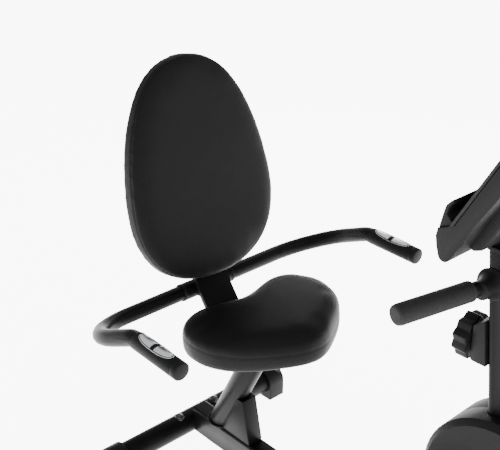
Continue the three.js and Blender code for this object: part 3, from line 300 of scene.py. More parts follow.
def turned_piece(name, centre, axis, profile, material, body, sides=32):
    """A turned piece: its profile is (distance along the axis, radius), from one end to the other."""
    (first, radius), *rest = profile
    bpy.ops.mesh.primitive_circle_add(vertices=sides, radius=radius, fill_type="NGON")
    made = bpy.context.object
    made.name = name
    bpy.ops.object.mode_set(mode="EDIT")
    bpy.ops.mesh.select_mode(type="EDGE")
    bpy.ops.mesh.select_all(action="SELECT")
    height = first
    bpy.ops.transform.translate(value=(0, 0, first))
    for distance, wide in rest:
        bpy.ops.mesh.extrude_region_move(TRANSFORM_OT_translate={"value": (0, 0, distance - height)})
        bpy.ops.transform.resize(value=(wide / radius, wide / radius, 1), center_override=(0, 0, 0))
        height, radius = distance, wide
    bpy.ops.mesh.select_all(action="SELECT")
    bpy.ops.mesh.normals_make_consistent(inside=False)
    bpy.ops.object.mode_set(mode="OBJECT")
    turn = Vector(axis).to_track_quat("Z", "Y").to_matrix().to_4x4()
    made.data.transform(Matrix.Translation(centre) @ turn)
    made.data.materials.append(material)
    bpy.ops.object.shade_smooth_by_angle(angle=math.radians(40))
    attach(made, body)


DOME = [(-0.004, 0.0095), (0, 0.0095), (0.0012, 0.0092), (0.003, 0.008), (0.0043, 0.0058), (0.005, 0.003)]
BOLT_RADIUS = 0.0095
BOLT_OFFSET = 0.048
WASHER = [(-0.003, 0.0125), (0, 0.0125), (0.0005, 0.0122), (0.0008, 0.0115)]
for tube in ("rear_stabilizer", "front_stabilizer"):
    low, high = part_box(tube)
    centre_x = (low.x + high.x) / 2
    top = (low.z + high.z) / 2 + math.sqrt(((high.z - low.z) / 2) ** 2 - BOLT_RADIUS ** 2)
    for side in (1, -1):
        spot = Vector((centre_x, side * BOLT_OFFSET, top))
        label = f"{tube}_{'left' if side > 0 else 'right'}"
        turned_piece(f"washer_{label}", spot, (0, 0, 1), WASHER, blackened_zinc, "frame", 28)
        turned_piece(f"bolt_{label}", spot + Vector((0, 0, 0.001)), (0, 0, 1), DOME, blackened_zinc,
                     "frame", 28)


# ---- Transport wheels.
# A hard rubber tyre moulded round a plastic hub, free on a steel pin through the foot's lugs.

# Moulded rubber: matt and slightly dusty, with no clear highlight.
tyre_rubber, shader = material_named("moulded_rubber", [
    ("Base Color", linear("#1a1a1a")), ("Specular IOR Level", 0.08)])
place = node(tyre_rubber, "ShaderNodeTexCoord")
dust = node(tyre_rubber, "ShaderNodeTexNoise", [("Scale", 60), ("Detail", 6)],
            [("Vector", place, "Object")])
gloss = node(tyre_rubber, "ShaderNodeMapRange", [("To Min", 0.7), ("To Max", 0.92)],
             [("Value", dust, "Fac")])
shade = node(tyre_rubber, "ShaderNodeMix", [("data_type", "RGBA"), (6, linear("#151515")),
                                            (7, linear("#242424"))], [(0, dust, "Fac")])
skin = node(tyre_rubber, "ShaderNodeBump", [("Strength", 0.2), ("Distance", 0.0005)],
            [("Height", dust, "Fac")])
tyre_rubber.node_tree.links.new(shade.outputs[2], shader.inputs["Base Color"])
tyre_rubber.node_tree.links.new(gloss.outputs[0], shader.inputs["Roughness"])
tyre_rubber.node_tree.links.new(skin.outputs[0], shader.inputs["Normal"])

for side in ("left", "right"):
    name = f"transport_wheel_{side}"
    dress(name, tyre_rubber, 0.0012, 3)
    low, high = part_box(name)
    centre = (low + high) / 2
    hub = [(-0.0118, 0.0085), (-0.0118, 0.013), (-0.0112, 0.0135), (0.0112, 0.0135), (0.0118, 0.013),
           (0.0118, 0.0085)]
    turned_piece(f"wheel_hub_{side}", centre, (0, 1, 0), hub, moulded_black, f"{side}_wheel")


# ---- Seat rail, carriage and release lever.
# The carriage is a folded channel that slides on the welded rail. A flat plastic-sleeved lever on
# the rider's left lifts the catch.

dress("seat_rail", powder_coat, 0.001)
dress("seat_carriage", powder_coat, 0.0012)
dress("seat_lever", moulded_black, 0.0018, 3)


# ---- Curved back bracket and its bolts.
# A thick bent steel flat between seat and backrest with a stub tube welded across its back. It is
# powder coated like the frame, and its long edges are rolled round.

dress("back_bracket", powder_coat, 0.0026, 4, 45)
CROSSBAR_X = -0.5592592
BACK_LEAN = math.radians(13)
BACK_BASE = Vector((CROSSBAR_X + 0.036, 0, 0.423))
BACK_UP = Vector((-math.sin(BACK_LEAN), 0, math.cos(BACK_LEAN)))
BACK_OUT = Vector((math.cos(BACK_LEAN), 0, math.sin(BACK_LEAN)))
BRACKET_BACK = -0.021 - 0.0003 - 0.005 - 0.0003 - 0.009
PAN_HEAD = [(-0.001, 0.0062), (0.0004, 0.0066), (0.0022, 0.0064), (0.0034, 0.0052), (0.0038, 0.0035),
            (0.0026, 0.0032), (0.0026, 0.0012)]
for up in (0.075, 0.145):
    for side in (1, -1):
        spot = BACK_BASE + BACK_UP * up + BACK_OUT * BRACKET_BACK + Vector((0, side * 0.022, 0))
        label = f"{round(up * 1000)}_{'left' if side > 0 else 'right'}"
        turned_piece(f"back_bolt_{label}", spot, -BACK_OUT, PAN_HEAD, blackened_zinc,
                     "seat_unit", 24)


# ---- Rear handlebar with its joint rings.
# Two bent tubes plug into the stub tube; a moulded ring hides each joint.

STUB_HALF = 0.060
CROSSBAR_Z = 0.385
for side, sign in (("left", 1), ("right", -1)):
    dress(f"handlebar_{side}", powder_coat, 0, smooth=50)
    stub_end = Vector((CROSSBAR_X, sign * STUB_HALF, CROSSBAR_Z))
    ring = [(-0.0035, 0.0155), (-0.0035, 0.0171), (-0.003, 0.0173), (0.0018, 0.0173), (0.0026, 0.0169),
            (0.003, 0.0160), (0.003, 0.0153)]
    turned_piece(f"joint_ring_{side}", stub_end, (0, sign, 0), ring, moulded_black, "seat_unit",
                 40)


# ---- Side grips with pulse plates.
# Moulded plastic sleeves over the arm's ends. On top of each lies a long oval surround that holds
# two stainless pulse plates, one behind the other, with a black band between them.

# Stainless sheet brushed along the grip: long fine strokes that break up the highlight.
brushed_stainless, shader = material_named("brushed_stainless", [
    ("Base Color", linear("#b4b6b8")), ("Metallic", 1.0), ("Roughness", 0.3)])
place = node(brushed_stainless, "ShaderNodeTexCoord")
stretch = node(brushed_stainless, "ShaderNodeMapping", [("Scale", (60, 2600, 2600))],
               [("Vector", place, "Object")])
strokes = node(brushed_stainless, "ShaderNodeTexNoise", [("Scale", 1), ("Detail", 2)],
               [("Vector", stretch, "Vector")])
gloss = node(brushed_stainless, "ShaderNodeMapRange", [("To Min", 0.22), ("To Max", 0.42)],
             [("Value", strokes, "Fac")])
lines = node(brushed_stainless, "ShaderNodeBump", [("Strength", 0.15), ("Distance", 0.0002)],
             [("Height", strokes, "Fac")])
brushed_stainless.node_tree.links.new(gloss.outputs[0], shader.inputs["Roughness"])
brushed_stainless.node_tree.links.new(lines.outputs[0], shader.inputs["Normal"])

GRIP_RADIUS = 0.016
GRIP_DIP = math.radians(2)
OVAL_START, OVAL_END = 0.019, 0.104
OVAL_HALF = 0.0125
SPLIT = 0.0615
SPLIT_HALF = 0.0045
ARM_CORNER = 0.0093


def oval_points(inset, start=None, end=None, count=56):
    """A long oval seen from above as (along, across); cut straight where start or end is given."""
    low, high, half = OVAL_START + inset, OVAL_END - inset, OVAL_HALF - inset
    middle, reach = (low + high) / 2, (high - low) / 2
    points = []
    for i in range(count):
        angle = 2 * math.pi * i / count
        along = middle + reach * math.copysign(abs(math.cos(angle)) ** 0.8, math.cos(angle))
        across = half * math.copysign(abs(math.sin(angle)) ** 0.9, math.sin(angle))
        along = max(along, start) if start is not None else along
        along = min(along, end) if end is not None else along
        points.append((along, across))
    return points


def wrapped_plate(name, points, base, thickness, edge, material, side):
    """A flat outline laid over the grip's round top and given a thickness."""
    bpy.ops.mesh.primitive_circle_add(vertices=len(points), fill_type="NGON")
    plate = bpy.context.object
    plate.name = name
    for corner, (along, across) in zip(plate.data.vertices, points):
        corner.co = (along, across, 0)
    bpy.ops.object.mode_set(mode="EDIT")
    bpy.ops.mesh.select_all(action="SELECT")
    bpy.ops.mesh.remove_doubles(threshold=0.0002)
    for i in range(1, 12):
        bpy.ops.mesh.select_all(action="SELECT")
        bpy.ops.mesh.bisect(plane_co=(0, (i - 6) / 6 * OVAL_HALF, 0), plane_no=(0, 1, 0))
    bpy.ops.mesh.select_all(action="SELECT")
    bpy.ops.mesh.extrude_region_move(TRANSFORM_OT_translate={"value": (0, 0, thickness)})
    bpy.ops.mesh.select_all(action="SELECT")
    bpy.ops.mesh.normals_make_consistent(inside=False)
    bpy.ops.object.mode_set(mode="OBJECT")
    if edge:
        rounding = plate.modifiers.new("rounding", "BEVEL")
        rounding.width = edge
        rounding.segments = 2
        rounding.limit_method = "ANGLE"
        rounding.angle_limit = math.radians(50)
        apply_all(plate)
    for corner in plate.data.vertices:
        angle = corner.co.y / GRIP_RADIUS
        radius = base + corner.co.z
        corner.co.y = radius * math.sin(angle)
        corner.co.z = radius * math.cos(angle)
    grip_low, grip_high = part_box(f"side_grip_{side}")
    corner_of_arm = Vector((grip_low.x - ARM_CORNER, (grip_low.y + grip_high.y) / 2,
                            grip_high.z - GRIP_RADIUS + ARM_CORNER * math.sin(GRIP_DIP)))
    plate.data.transform(Matrix.Translation(corner_of_arm) @ Matrix.Rotation(GRIP_DIP, 4, "Y"))
    plate.data.materials.append(material)
    only(plate)
    bpy.ops.object.shade_smooth_by_angle(angle=math.radians(40))
    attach(plate, "seat_unit")
    return plate


for side in ("left", "right"):
    dress(f"side_grip_{side}", moulded_black, 0.0008, smooth=40)
    dress(f"side_grip_cap_{side}", moulded_black, 0.001, 3, smooth=40)
    wrapped_plate(f"pulse_rim_{side}", oval_points(0), GRIP_RADIUS - 0.0006, 0.0012, 0.0004,
                  brushed_stainless, side)
    wrapped_plate(f"pulse_surround_{side}", oval_points(0.0011), GRIP_RADIUS - 0.0005, 0.0014, 0.0003,
                  moulded_black, side)
    rear = wrapped_plate(f"pulse_metal_rear_{side}", oval_points(0.0026, end=SPLIT - SPLIT_HALF),
                         GRIP_RADIUS - 0.0004, 0.0019, 0.0004, brushed_stainless, side)
    front = wrapped_plate(f"pulse_metal_front_{side}", oval_points(0.0026, start=SPLIT + SPLIT_HALF),
                          GRIP_RADIUS - 0.0004, 0.0019, 0.0004, brushed_stainless, side)
    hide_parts(f"pulse_plate_rear_{side}")
    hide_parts(f"pulse_plate_front_{side}")


# ---- Seat and backrest pads.
# Foam on a board under a sewn cover of black grained vinyl: a crowned top panel and a side band,
# joined by a seam that is pulled down into the foam. The cover is stapled under the board.

# Expanded vinyl with a calfskin grain: fine pebbles and a dull sheen that shifts over the folds.
grained_vinyl, shader = material_named("grained_vinyl", [
    ("Base Color", linear("#0a0a0a")), ("Specular IOR Level", 0.04)])
place = node(grained_vinyl, "ShaderNodeTexCoord")
pebbles = node(grained_vinyl, "ShaderNodeTexVoronoi", [("Scale", 620)], [("Vector", place, "Object")])
drape = node(grained_vinyl, "ShaderNodeTexNoise", [("Scale", 9), ("Detail", 3)],
             [("Vector", place, "Object")])
grain = node(grained_vinyl, "ShaderNodeBump", [("Strength", 0.28), ("Distance", 0.0004)],
             [("Height", pebbles, "Distance")])
folds = node(grained_vinyl, "ShaderNodeBump", [("Strength", 0.25), ("Distance", 0.004)],
             [("Height", drape, "Fac"), ("Normal", grain, "Normal")])
gloss = node(grained_vinyl, "ShaderNodeMapRange", [("To Min", 0.42), ("To Max", 0.56)],
             [("Value", drape, "Fac")])
shade = node(grained_vinyl, "ShaderNodeMix", [("data_type", "RGBA"), (6, linear("#080808")),
                                              (7, linear("#0d0d0d"))], [(0, pebbles, "Distance")])
grained_vinyl.node_tree.links.new(shade.outputs[2], shader.inputs["Base Color"])
grained_vinyl.node_tree.links.new(gloss.outputs[0], shader.inputs["Roughness"])
grained_vinyl.node_tree.links.new(folds.outputs[0], shader.inputs["Normal"])


def outline_points(curves, steps):
    """Points along a closed run of cubic curves, each given by its four control points."""
    points = []
    for a, b, c, d in curves:
        for i in range(steps):
            t = i / steps
            u = 1 - t
            points.append(tuple(u ** 3 * a[k] + 3 * u * u * t * b[k] + 3 * u * t * t * c[k] + t ** 3 * d[k]
                                for k in (0, 1)))
    return points


def pad_form(name, outline, centre, rings):
    """A closed pad: the outline, grown or shrunk about a centre, is stacked up ring by ring."""
    bpy.ops.mesh.primitive_circle_add(vertices=len(outline), fill_type="NGON")
    pad = bpy.context.object
    pad.name = name
    (first, base), *rest = rings
    for corner, (x, y) in zip(pad.data.vertices, outline):
        corner.co = (centre[0] + (x - centre[0]) * first, centre[1] + (y - centre[1]) * first, base)
    bpy.ops.object.mode_set(mode="EDIT")
    bpy.ops.mesh.select_mode(type="EDGE")
    bpy.ops.mesh.select_all(action="SELECT")
    scale, height = first, base
    for share, level in rest:
        bpy.ops.mesh.extrude_region_move(TRANSFORM_OT_translate={"value": (0, 0, level - height)})
        bpy.ops.transform.resize(value=(share / scale, share / scale, 1),
                                 center_override=(*centre, 0))
        scale, height = share, level
    bpy.ops.mesh.select_all(action="SELECT")
    bpy.ops.mesh.normals_make_consistent(inside=False)
    bpy.ops.object.mode_set(mode="OBJECT")
    return pad


def swell(pad, voxel, cap, held_below):
    """Remeshes a pad and lets air pressure crown it; nothing under a height moves."""
    remesh = pad.modifiers.new("remesh", "REMESH")
    remesh.mode = "VOXEL"
    remesh.voxel_size = voxel
    apply_all(pad)
    rest = [corner.co.copy() for corner in pad.data.vertices]
    held = pad.vertex_groups.new(name="held")
    held.add([i for i, point in enumerate(rest) if point.z < held_below], 1.0, "REPLACE")
    cloth = pad.modifiers.new("cloth", "CLOTH")
    cloth.settings.use_pressure = True
    cloth.settings.uniform_pressure_force = 4
    cloth.settings.effector_weights.gravity = 0
    cloth.settings.vertex_group_mass = "held"
    cloth.settings.quality = 5
    cloth.point_cache.frame_start = 1
    cloth.point_cache.frame_end = 20
    for step in range(1, 21):
        bpy.context.scene.frame_set(step)
    shaped = pad.evaluated_get(bpy.context.evaluated_depsgraph_get()).to_mesh()
    swollen = [corner.co.copy() for corner in shaped.vertices]
    pad.modifiers.remove(cloth)
    bpy.context.scene.frame_set(1)
    for corner, before, after in zip(pad.data.vertices, rest, swollen):
        move = after - before
        if move.length > cap:
            move *= cap / move.length
        corner.co = before + move


def smooth_skin(pad, rounds):
    """Irons out the voxels' steps and gives the skin one finer level."""
    relax = pad.modifiers.new("relax", "SMOOTH")
    relax.factor = 0.5
    relax.iterations = rounds
    finer = pad.modifiers.new("finer", "SUBSURF")
    finer.levels = 1
    finer.render_levels = 1
    apply_all(pad)


def fit_between(pad, low, high):
    """Stretches the pad to fill the box from low to high."""
    corners = [corner.co for corner in pad.data.vertices]
    least = Vector([min(c[k] for c in corners) for k in range(3)])
    most = Vector([max(c[k] for c in corners) for k in range(3)])
    for corner in pad.data.vertices:
        for k in range(3):
            corner.co[k] = low[k] + (corner.co[k] - least[k]) / (most[k] - least[k]) * (high[k] - low[k])


def pull_seam(pad, level, width, depth, centre):
    """Draws the skin in along a level line, as the thread of a sewn seam does."""
    for corner in pad.data.vertices:
        away = abs(corner.co.z - level) / width
        if away < 1:
            inward = Vector((centre[0] - corner.co.x, centre[1] - corner.co.y, 0))
            if inward.length > 0.06:
                corner.co += inward.normalized() * depth * (1 - away * away) ** 2


def mirrored_curves(half):
    """The curves of one half outline, followed by the same ones mirrored back to the start."""
    back = [tuple((x, -y) for x, y in reversed(curve)) for curve in reversed(half)]
    return half + back


seat_low, seat_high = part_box("seat_cushion")
rear, nose = seat_low.x, seat_high.x
length = nose - rear
seat_curves = mirrored_curves([
    ((rear + 0.017, 0), (rear + 0.017, 0.028), (rear + 0.002, 0.060), (rear, 0.095)),
    ((rear, 0.095), (rear, 0.128), (rear + 0.018, 0.160), (rear + 0.070, 0.163)),
    ((rear + 0.070, 0.163), (rear + 0.124, 0.163), (rear + 0.158, 0.130), (rear + 0.186, 0.084)),
    ((rear + 0.186, 0.084), (rear + 0.204, 0.054), (nose, 0.026), (nose, 0)),
])
seat_outline = outline_points(seat_curves, 14)
seat_centre = (rear + 0.46 * length, 0)
base = seat_low.z
seat_rings = [(0.915, base), (0.960, base + 0.002), (0.980, base + 0.007), (0.985, base + 0.016),
              (0.984, base + 0.026), (0.988, base + 0.036), (0.984, base + 0.044), (0.958, base + 0.051),
              (0.89, base + 0.057), (0.74, base + 0.061), (0.5, base + 0.063), (0.25, base + 0.064)]
NOSE_LIFT = 0.008


def lift_nose(piece):
    """Tips a seat piece back: its nose rises, as the real seat's does, and its rear stays."""
    for corner in piece.data.vertices:
        share = (corner.co.x - rear) / length
        corner.co.z += NOSE_LIFT * share


seat_pad = pad_form("seat_pad", seat_outline, seat_centre, seat_rings)
swell(seat_pad, 0.005, 0.003, base + 0.004)
smooth_skin(seat_pad, 24)
fit_between(seat_pad, seat_low - Vector((0, 0, 0.002)), seat_high + Vector((0.005, 0, 0.005)))
lift_nose(seat_pad)
pull_seam(seat_pad, base + 0.0385, 0.003, 0.0008, seat_centre)
seat_pad.data.materials.clear()
seat_pad.data.materials.append(grained_vinyl)
only(seat_pad)
bpy.ops.object.shade_smooth()
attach(seat_pad, "seat_unit")
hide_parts("seat_cushion")

board_rings = [(0.80, base - 0.0066), (0.825, base - 0.0066), (0.835, base - 0.005), (0.835, base - 0.0024)]
seat_board = pad_form("seat_board_moulded", seat_outline, seat_centre, board_rings)
lift_nose(seat_board)
seat_board.data.materials.append(moulded_black)
only(seat_board)
bpy.ops.object.shade_smooth_by_angle(angle=math.radians(40))
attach(seat_board, "seat_unit")
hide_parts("seat_board")

BACK_HEIGHT, BACK_HALF, BACK_DEEP = 0.419, 0.165, 0.042
widest = 0.363 * BACK_HEIGHT
back_curves = mirrored_curves([
    ((0, 0), (0, 0.67 * BACK_HALF), (0.41 * widest, BACK_HALF), (widest, BACK_HALF)),
    ((widest, BACK_HALF), (1.41 * widest, BACK_HALF), (BACK_HEIGHT, 0.84 * BACK_HALF), (BACK_HEIGHT, 0)),
])
back_outline = outline_points(back_curves, 26)
back_centre = (0.45 * BACK_HEIGHT, 0)
back_rings = [(0.95, 0), (0.982, 0.0015), (0.988, 0.006), (0.98, 0.014), (0.981, 0.021), (0.99, 0.028),
              (0.986, 0.0335), (0.962, 0.0372), (0.88, 0.039), (0.7, 0.0397), (0.45, 0.04), (0.2, 0.0402)]
back_pad = pad_form("back_pad", back_outline, back_centre, back_rings)
swell(back_pad, 0.005, 0.0025, 0.004)
smooth_skin(back_pad, 24)
fit_between(back_pad, (-0.001, -BACK_HALF, 0), (BACK_HEIGHT + 0.004, BACK_HALF, BACK_DEEP))
pull_seam(back_pad, 0.0275, 0.003, 0.0010, back_centre)
lean_frame = Matrix((
    (BACK_UP.x, 0, BACK_OUT.x, 0), (0, -1, 0, 0), (BACK_UP.z, 0, BACK_OUT.z, 0), (0, 0, 0, 1)))
back_pad.data.transform(Matrix.Translation(BACK_BASE - BACK_OUT * BACK_DEEP / 2) @ lean_frame)
back_pad.data.materials.clear()
back_pad.data.materials.append(grained_vinyl)
only(back_pad)
bpy.ops.object.mode_set(mode="EDIT")
bpy.ops.mesh.select_all(action="SELECT")
bpy.ops.mesh.normals_make_consistent(inside=False)
bpy.ops.object.mode_set(mode="OBJECT")
bpy.ops.object.shade_smooth()
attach(back_pad, "seat_unit")
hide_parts("back_cushion")
dress("back_board", moulded_black, 0.0018, 3)


# ---- Front post, T-bar and its foam sleeves.
# A rectangular steel tube that leans to the rider, with the T-bar through its head behind two
# flared moulded collars. The sleeves are closed-cell foam, pushed on wet and a little pitted.

# Closed-cell rubber foam: dull, with small open pits and soft lumps.
closed_cell_foam, shader = material_named("closed_cell_foam", [
    ("Base Color", linear("#171717")), ("Specular IOR Level", 0.1)])
place = node(closed_cell_foam, "ShaderNodeTexCoord")
cells = node(closed_cell_foam, "ShaderNodeTexVoronoi", [("Scale", 750)], [("Vector", place, "Object")])
lumps = node(closed_cell_foam, "ShaderNodeTexNoise", [("Scale", 120), ("Detail", 4)],
             [("Vector", place, "Object")])
pits = node(closed_cell_foam, "ShaderNodeBump", [("Strength", 0.5), ("Distance", 0.0006)],
            [("Height", cells, "Distance")])
waves = node(closed_cell_foam, "ShaderNodeBump", [("Strength", 0.3), ("Distance", 0.001)],
             [("Height", lumps, "Fac"), ("Normal", pits, "Normal")])
gloss = node(closed_cell_foam, "ShaderNodeMapRange", [("To Min", 0.72), ("To Max", 0.95)],
             [("Value", lumps, "Fac")])
shade = node(closed_cell_foam, "ShaderNodeMix", [("data_type", "RGBA"), (6, linear("#121212")),
                                                 (7, linear("#1f1f1f"))], [(0, cells, "Distance")])
closed_cell_foam.node_tree.links.new(shade.outputs[2], shader.inputs["Base Color"])
closed_cell_foam.node_tree.links.new(gloss.outputs[0], shader.inputs["Roughness"])
closed_cell_foam.node_tree.links.new(waves.outputs[0], shader.inputs["Normal"])

dress("front_post", powder_coat, 0.001)
dress("tbar", powder_coat, 0.0008, smooth=45)
for side in ("left", "right"):
    dress(f"foam_grip_{side}", closed_cell_foam, 0.0012, 3, smooth=50)

tbar_low, tbar_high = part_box("tbar")
post_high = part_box("front_post")[1]
collar_at = Vector((tbar_high.x - 0.0240, 0, (tbar_low.z + tbar_high.z) / 2))
FLARE = [(0.0, 0.0200), (0.0, 0.0243), (0.001, 0.0244), (0.0025, 0.0217), (0.005, 0.0191), (0.009, 0.0168),
         (0.014, 0.0153), (0.020, 0.0143), (0.027, 0.0137), (0.0285, 0.0132), (0.029, 0.0118)]
for side, sign in (("left", 1), ("right", -1)):
    spot = collar_at + Vector((0, sign * (post_high.y + 0.0003), 0))
    turned_piece(f"tbar_flare_{side}", spot, (0, sign, 0), FLARE, moulded_black, "frame", 48)

beam_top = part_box("main_beam")[1].z
POST_LEAN = math.radians(7)
post_foot_x = post_high.x - 0.060 / 2 / math.cos(POST_LEAN)
for side, sign in (("left", 1), ("right", -1)):
    for share in (-1, 1):
        across = sign * (post_high.y + 0.0005)
        spot = Vector((post_foot_x + share * 0.016 - 0.022, across, beam_top + 0.02))
        turned_piece(f"post_bolt_{side}_{'front' if share > 0 else 'rear'}", spot, (0, sign, 0), PAN_HEAD,
                     blackened_zinc, "frame", 24)


# ---- Tension block and its lobed knob.
# A moulded box on the post's rear face guides the cable; the knob that winds it has ten finger
# lobes and a push-on cap.

dress("tension_block", moulded_black, 0.002, 3)
dress("tension_knob", moulded_black, 0.0009, 3, 28, 32)
knob_low, knob_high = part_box("tension_knob")
knob_face = Vector((knob_low.x, 0, (knob_low.z + knob_high.z) / 2))
KNOB_CAP = [(-0.003, 0.0135), (0.0005, 0.0135), (0.0013, 0.0128), (0.0016, 0.0118), (0.0011, 0.0108),
            (0.0011, 0.0012)]
turned_piece("knob_cap", knob_face, (-1, 0, 0), KNOB_CAP, moulded_black, "knob", 36)


# ---- Console: two-part moulded shell, tablet ledge, screen and buttons.
# Matt black ABS with a fine seam between the face and the shell. The shell's side wall runs down
# into a rounded chin, and the ledge's lip stands off the face to hold a phone or tablet.

CONSOLE_TILT = math.radians(29.5)
front_low, front_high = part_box("console_front")
FACE_UP = Vector((math.sin(CONSOLE_TILT), 0, math.cos(CONSOLE_TILT)))
FACE_IN = Vector((math.cos(CONSOLE_TILT), 0, -math.sin(CONSOLE_TILT)))
CONSOLE_HALF = front_high.y
CONSOLE_LOW = -0.052
face_origin = Vector((front_low.x, 0, front_low.z + 0.004 * math.sin(CONSOLE_TILT))) - FACE_UP * CONSOLE_LOW
console_frame = Matrix((
    (FACE_IN.x, 0, FACE_UP.x, face_origin.x), (0, 1, 0, 0), (FACE_IN.z, 0, FACE_UP.z, face_origin.z),
    (0, 0, 0, 1)))


def side_cut(name, profile, low, high, edge, material, body, segments=3, angle=30):
    """A side profile, given as (in, up) on the console, run across from one side to the other."""
    bpy.ops.mesh.primitive_circle_add(vertices=len(profile), fill_type="NGON")
    made = bpy.context.object
    made.name = name
    for corner, (inward, up) in zip(made.data.vertices, profile):
        corner.co = (inward, low, up)
    bpy.ops.object.mode_set(mode="EDIT")
    bpy.ops.mesh.select_all(action="SELECT")
    bpy.ops.mesh.extrude_region_move(TRANSFORM_OT_translate={"value": (0, high - low, 0)})
    bpy.ops.mesh.select_all(action="SELECT")
    bpy.ops.mesh.normals_make_consistent(inside=False)
    bpy.ops.object.mode_set(mode="OBJECT")
    if edge:
        rounding = made.modifiers.new("rounding", "BEVEL")
        rounding.width = edge
        rounding.segments = segments
        rounding.limit_method = "ANGLE"
        rounding.angle_limit = math.radians(angle)
        apply_all(made)
    made.data.transform(console_frame)
    made.data.materials.append(material)
    bpy.ops.object.shade_smooth_by_angle(angle=math.radians(40))
    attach(made, body)
    return made


def arc(centre, radius, start, end, steps):
    """Points on an arc, angles in degrees."""
    return [(centre[0] + radius * math.cos(math.radians(start + (end - start) * i / steps)),
             centre[1] + radius * math.sin(math.radians(start + (end - start) * i / steps)))
            for i in range(steps + 1)]


shell_profile = [(0.0046, 0.186), (0.0046, 0.002), (-0.0118, -0.0205), (-0.0080, -0.0320), (0.0010, -0.0430),
                 *arc((0.0175, -0.0455), 0.0095, 225, 360, 8), (0.0272, -0.0320), (0.0278, -0.0135),
                 (0.0258, 0.0185), (0.0285, 0.069), (0.029, 0.12), (0.0262, 0.176), (0.018, 0.1895),
                 (0.0075, 0.1895)]
shell = side_cut("console_shell", shell_profile, -CONSOLE_HALF - 0.0003, CONSOLE_HALF + 0.0003, 0.003,
                 moulded_black, "console", 4, 34)
spine_profile = [(0.02, 0.170), (0.02, -0.036), (0.034, -0.036), (0.0435, -0.024), (0.0435, 0.110),
                 (0.036, 0.140), (0.026, 0.168)]
side_cut("console_spine", spine_profile, -0.078, 0.078, 0.006, moulded_black, "console",
         4, 25)
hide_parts("console_back")
LUG_AT, LUG_RADIUS = (0.055, -0.014), 0.011
lug_profile = [(0.024, 0.034), (0.024, -0.032), *arc(LUG_AT, LUG_RADIUS, 250, 430, 14)]
for side, sign in (("left", 1), ("right", -1)):
    low, high = sorted((sign * 0.017, sign * 0.027))
    side_cut(f"console_lug_{side}", lug_profile, low, high, 0.0012, moulded_black, "console")
    pivot = console_frame @ Vector((LUG_AT[0], sign * 0.027, LUG_AT[1]))
    turned_piece(f"tilt_screw_{side}", pivot, (0, sign, 0), PAN_HEAD, blackened_zinc, "console", 24)

ledge_profile = [(-0.0003, -0.0065), (-0.0003, 0.0), (-0.013, 0.003), (-0.0158, 0.012), (-0.0146, 0.0248),
                 (-0.0163, 0.0265), (-0.0184, 0.0245), (-0.0212, 0.0128), (-0.0192, 0.004),
                 (-0.0138, -0.014), (-0.0118, -0.0205)]
ledge = side_cut("console_ledge", ledge_profile, 0.003 - CONSOLE_HALF, CONSOLE_HALF - 0.003, 0.0011,
                 moulded_black, "console", 3, 25)
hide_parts("tablet_ledge")
bezel = dress("console_front", moulded_black, 0.0012, 3)
only(bezel)
bpy.ops.object.mode_set(mode="EDIT")
bpy.ops.mesh.select_all(action="SELECT")
bpy.ops.mesh.bisect(plane_co=face_origin - FACE_UP * 0.010, plane_no=FACE_UP, use_fill=True, clear_inner=True)
bpy.ops.object.mode_set(mode="OBJECT")

# Acrylic window: clear gloss over a dark ground, with faint smudges.
display_glass, shader = material_named("display_window_acrylic", [
    ("Base Color", linear("#0c1012")), ("Roughness", 0.08), ("Coat Weight", 0.6), ("Coat Roughness", 0.04)])
place = node(display_glass, "ShaderNodeTexCoord")
smudges = node(display_glass, "ShaderNodeTexNoise", [("Scale", 30), ("Detail", 3)],
               [("Vector", place, "Object")])
gloss = node(display_glass, "ShaderNodeMapRange", [("To Min", 0.05), ("To Max", 0.14)],
             [("Value", smudges, "Fac")])
display_glass.node_tree.links.new(gloss.outputs[0], shader.inputs["Roughness"])
dress("console_screen", display_glass, 0.0006)

# Reflective liquid crystal: a grey-green sheet of fine dots.
liquid_crystal, shader = material_named("reflective_lcd", [
    ("Base Color", linear("#7d8a80")), ("Roughness", 0.3)])
place = node(liquid_crystal, "ShaderNodeTexCoord")
dots = node(liquid_crystal, "ShaderNodeTexChecker", [("Scale", 1500)], [("Vector", place, "Object")])
shade = node(liquid_crystal, "ShaderNodeMix", [("data_type", "RGBA"), (6, linear("#75827a")),
                                               (7, linear("#828f86"))], [(0, dots, "Fac")])
liquid_crystal.node_tree.links.new(shade.outputs[2], shader.inputs["Base Color"])

# Switched-on segments: near black, with a slightly uneven gloss.
dark_segment, shader = material_named("lcd_segment", [("Base Color", linear("#1c2420")), ("Roughness", 0.35)])
place = node(dark_segment, "ShaderNodeTexCoord")
edge_fade = node(dark_segment, "ShaderNodeTexNoise", [("Scale", 200)], [("Vector", place, "Object")])
gloss = node(dark_segment, "ShaderNodeMapRange", [("To Min", 0.3), ("To Max", 0.45)],
             [("Value", edge_fade, "Fac")])
dark_segment.node_tree.links.new(gloss.outputs[0], shader.inputs["Roughness"])


def face_tile(name, across, up, width, height, depth, proud, material, body, edge=0.0006):
    """A small raised rectangle on the console's face, with rounded edges."""
    bpy.ops.mesh.primitive_cube_add(size=1)
    tile = bpy.context.object
    tile.name = name
    bpy.ops.object.mode_set(mode="EDIT")
    bpy.ops.transform.resize(value=(depth, width, height), center_override=(0, 0, 0))
    bpy.ops.transform.translate(value=(depth / 2 - proud, across, up))
    bpy.ops.object.mode_set(mode="OBJECT")
    rounding = tile.modifiers.new("rounding", "BEVEL")
    rounding.width = edge
    rounding.segments = 2
    apply_all(tile)
    tile.data.transform(console_frame)
    tile.data.materials.append(material)
    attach(tile, body)


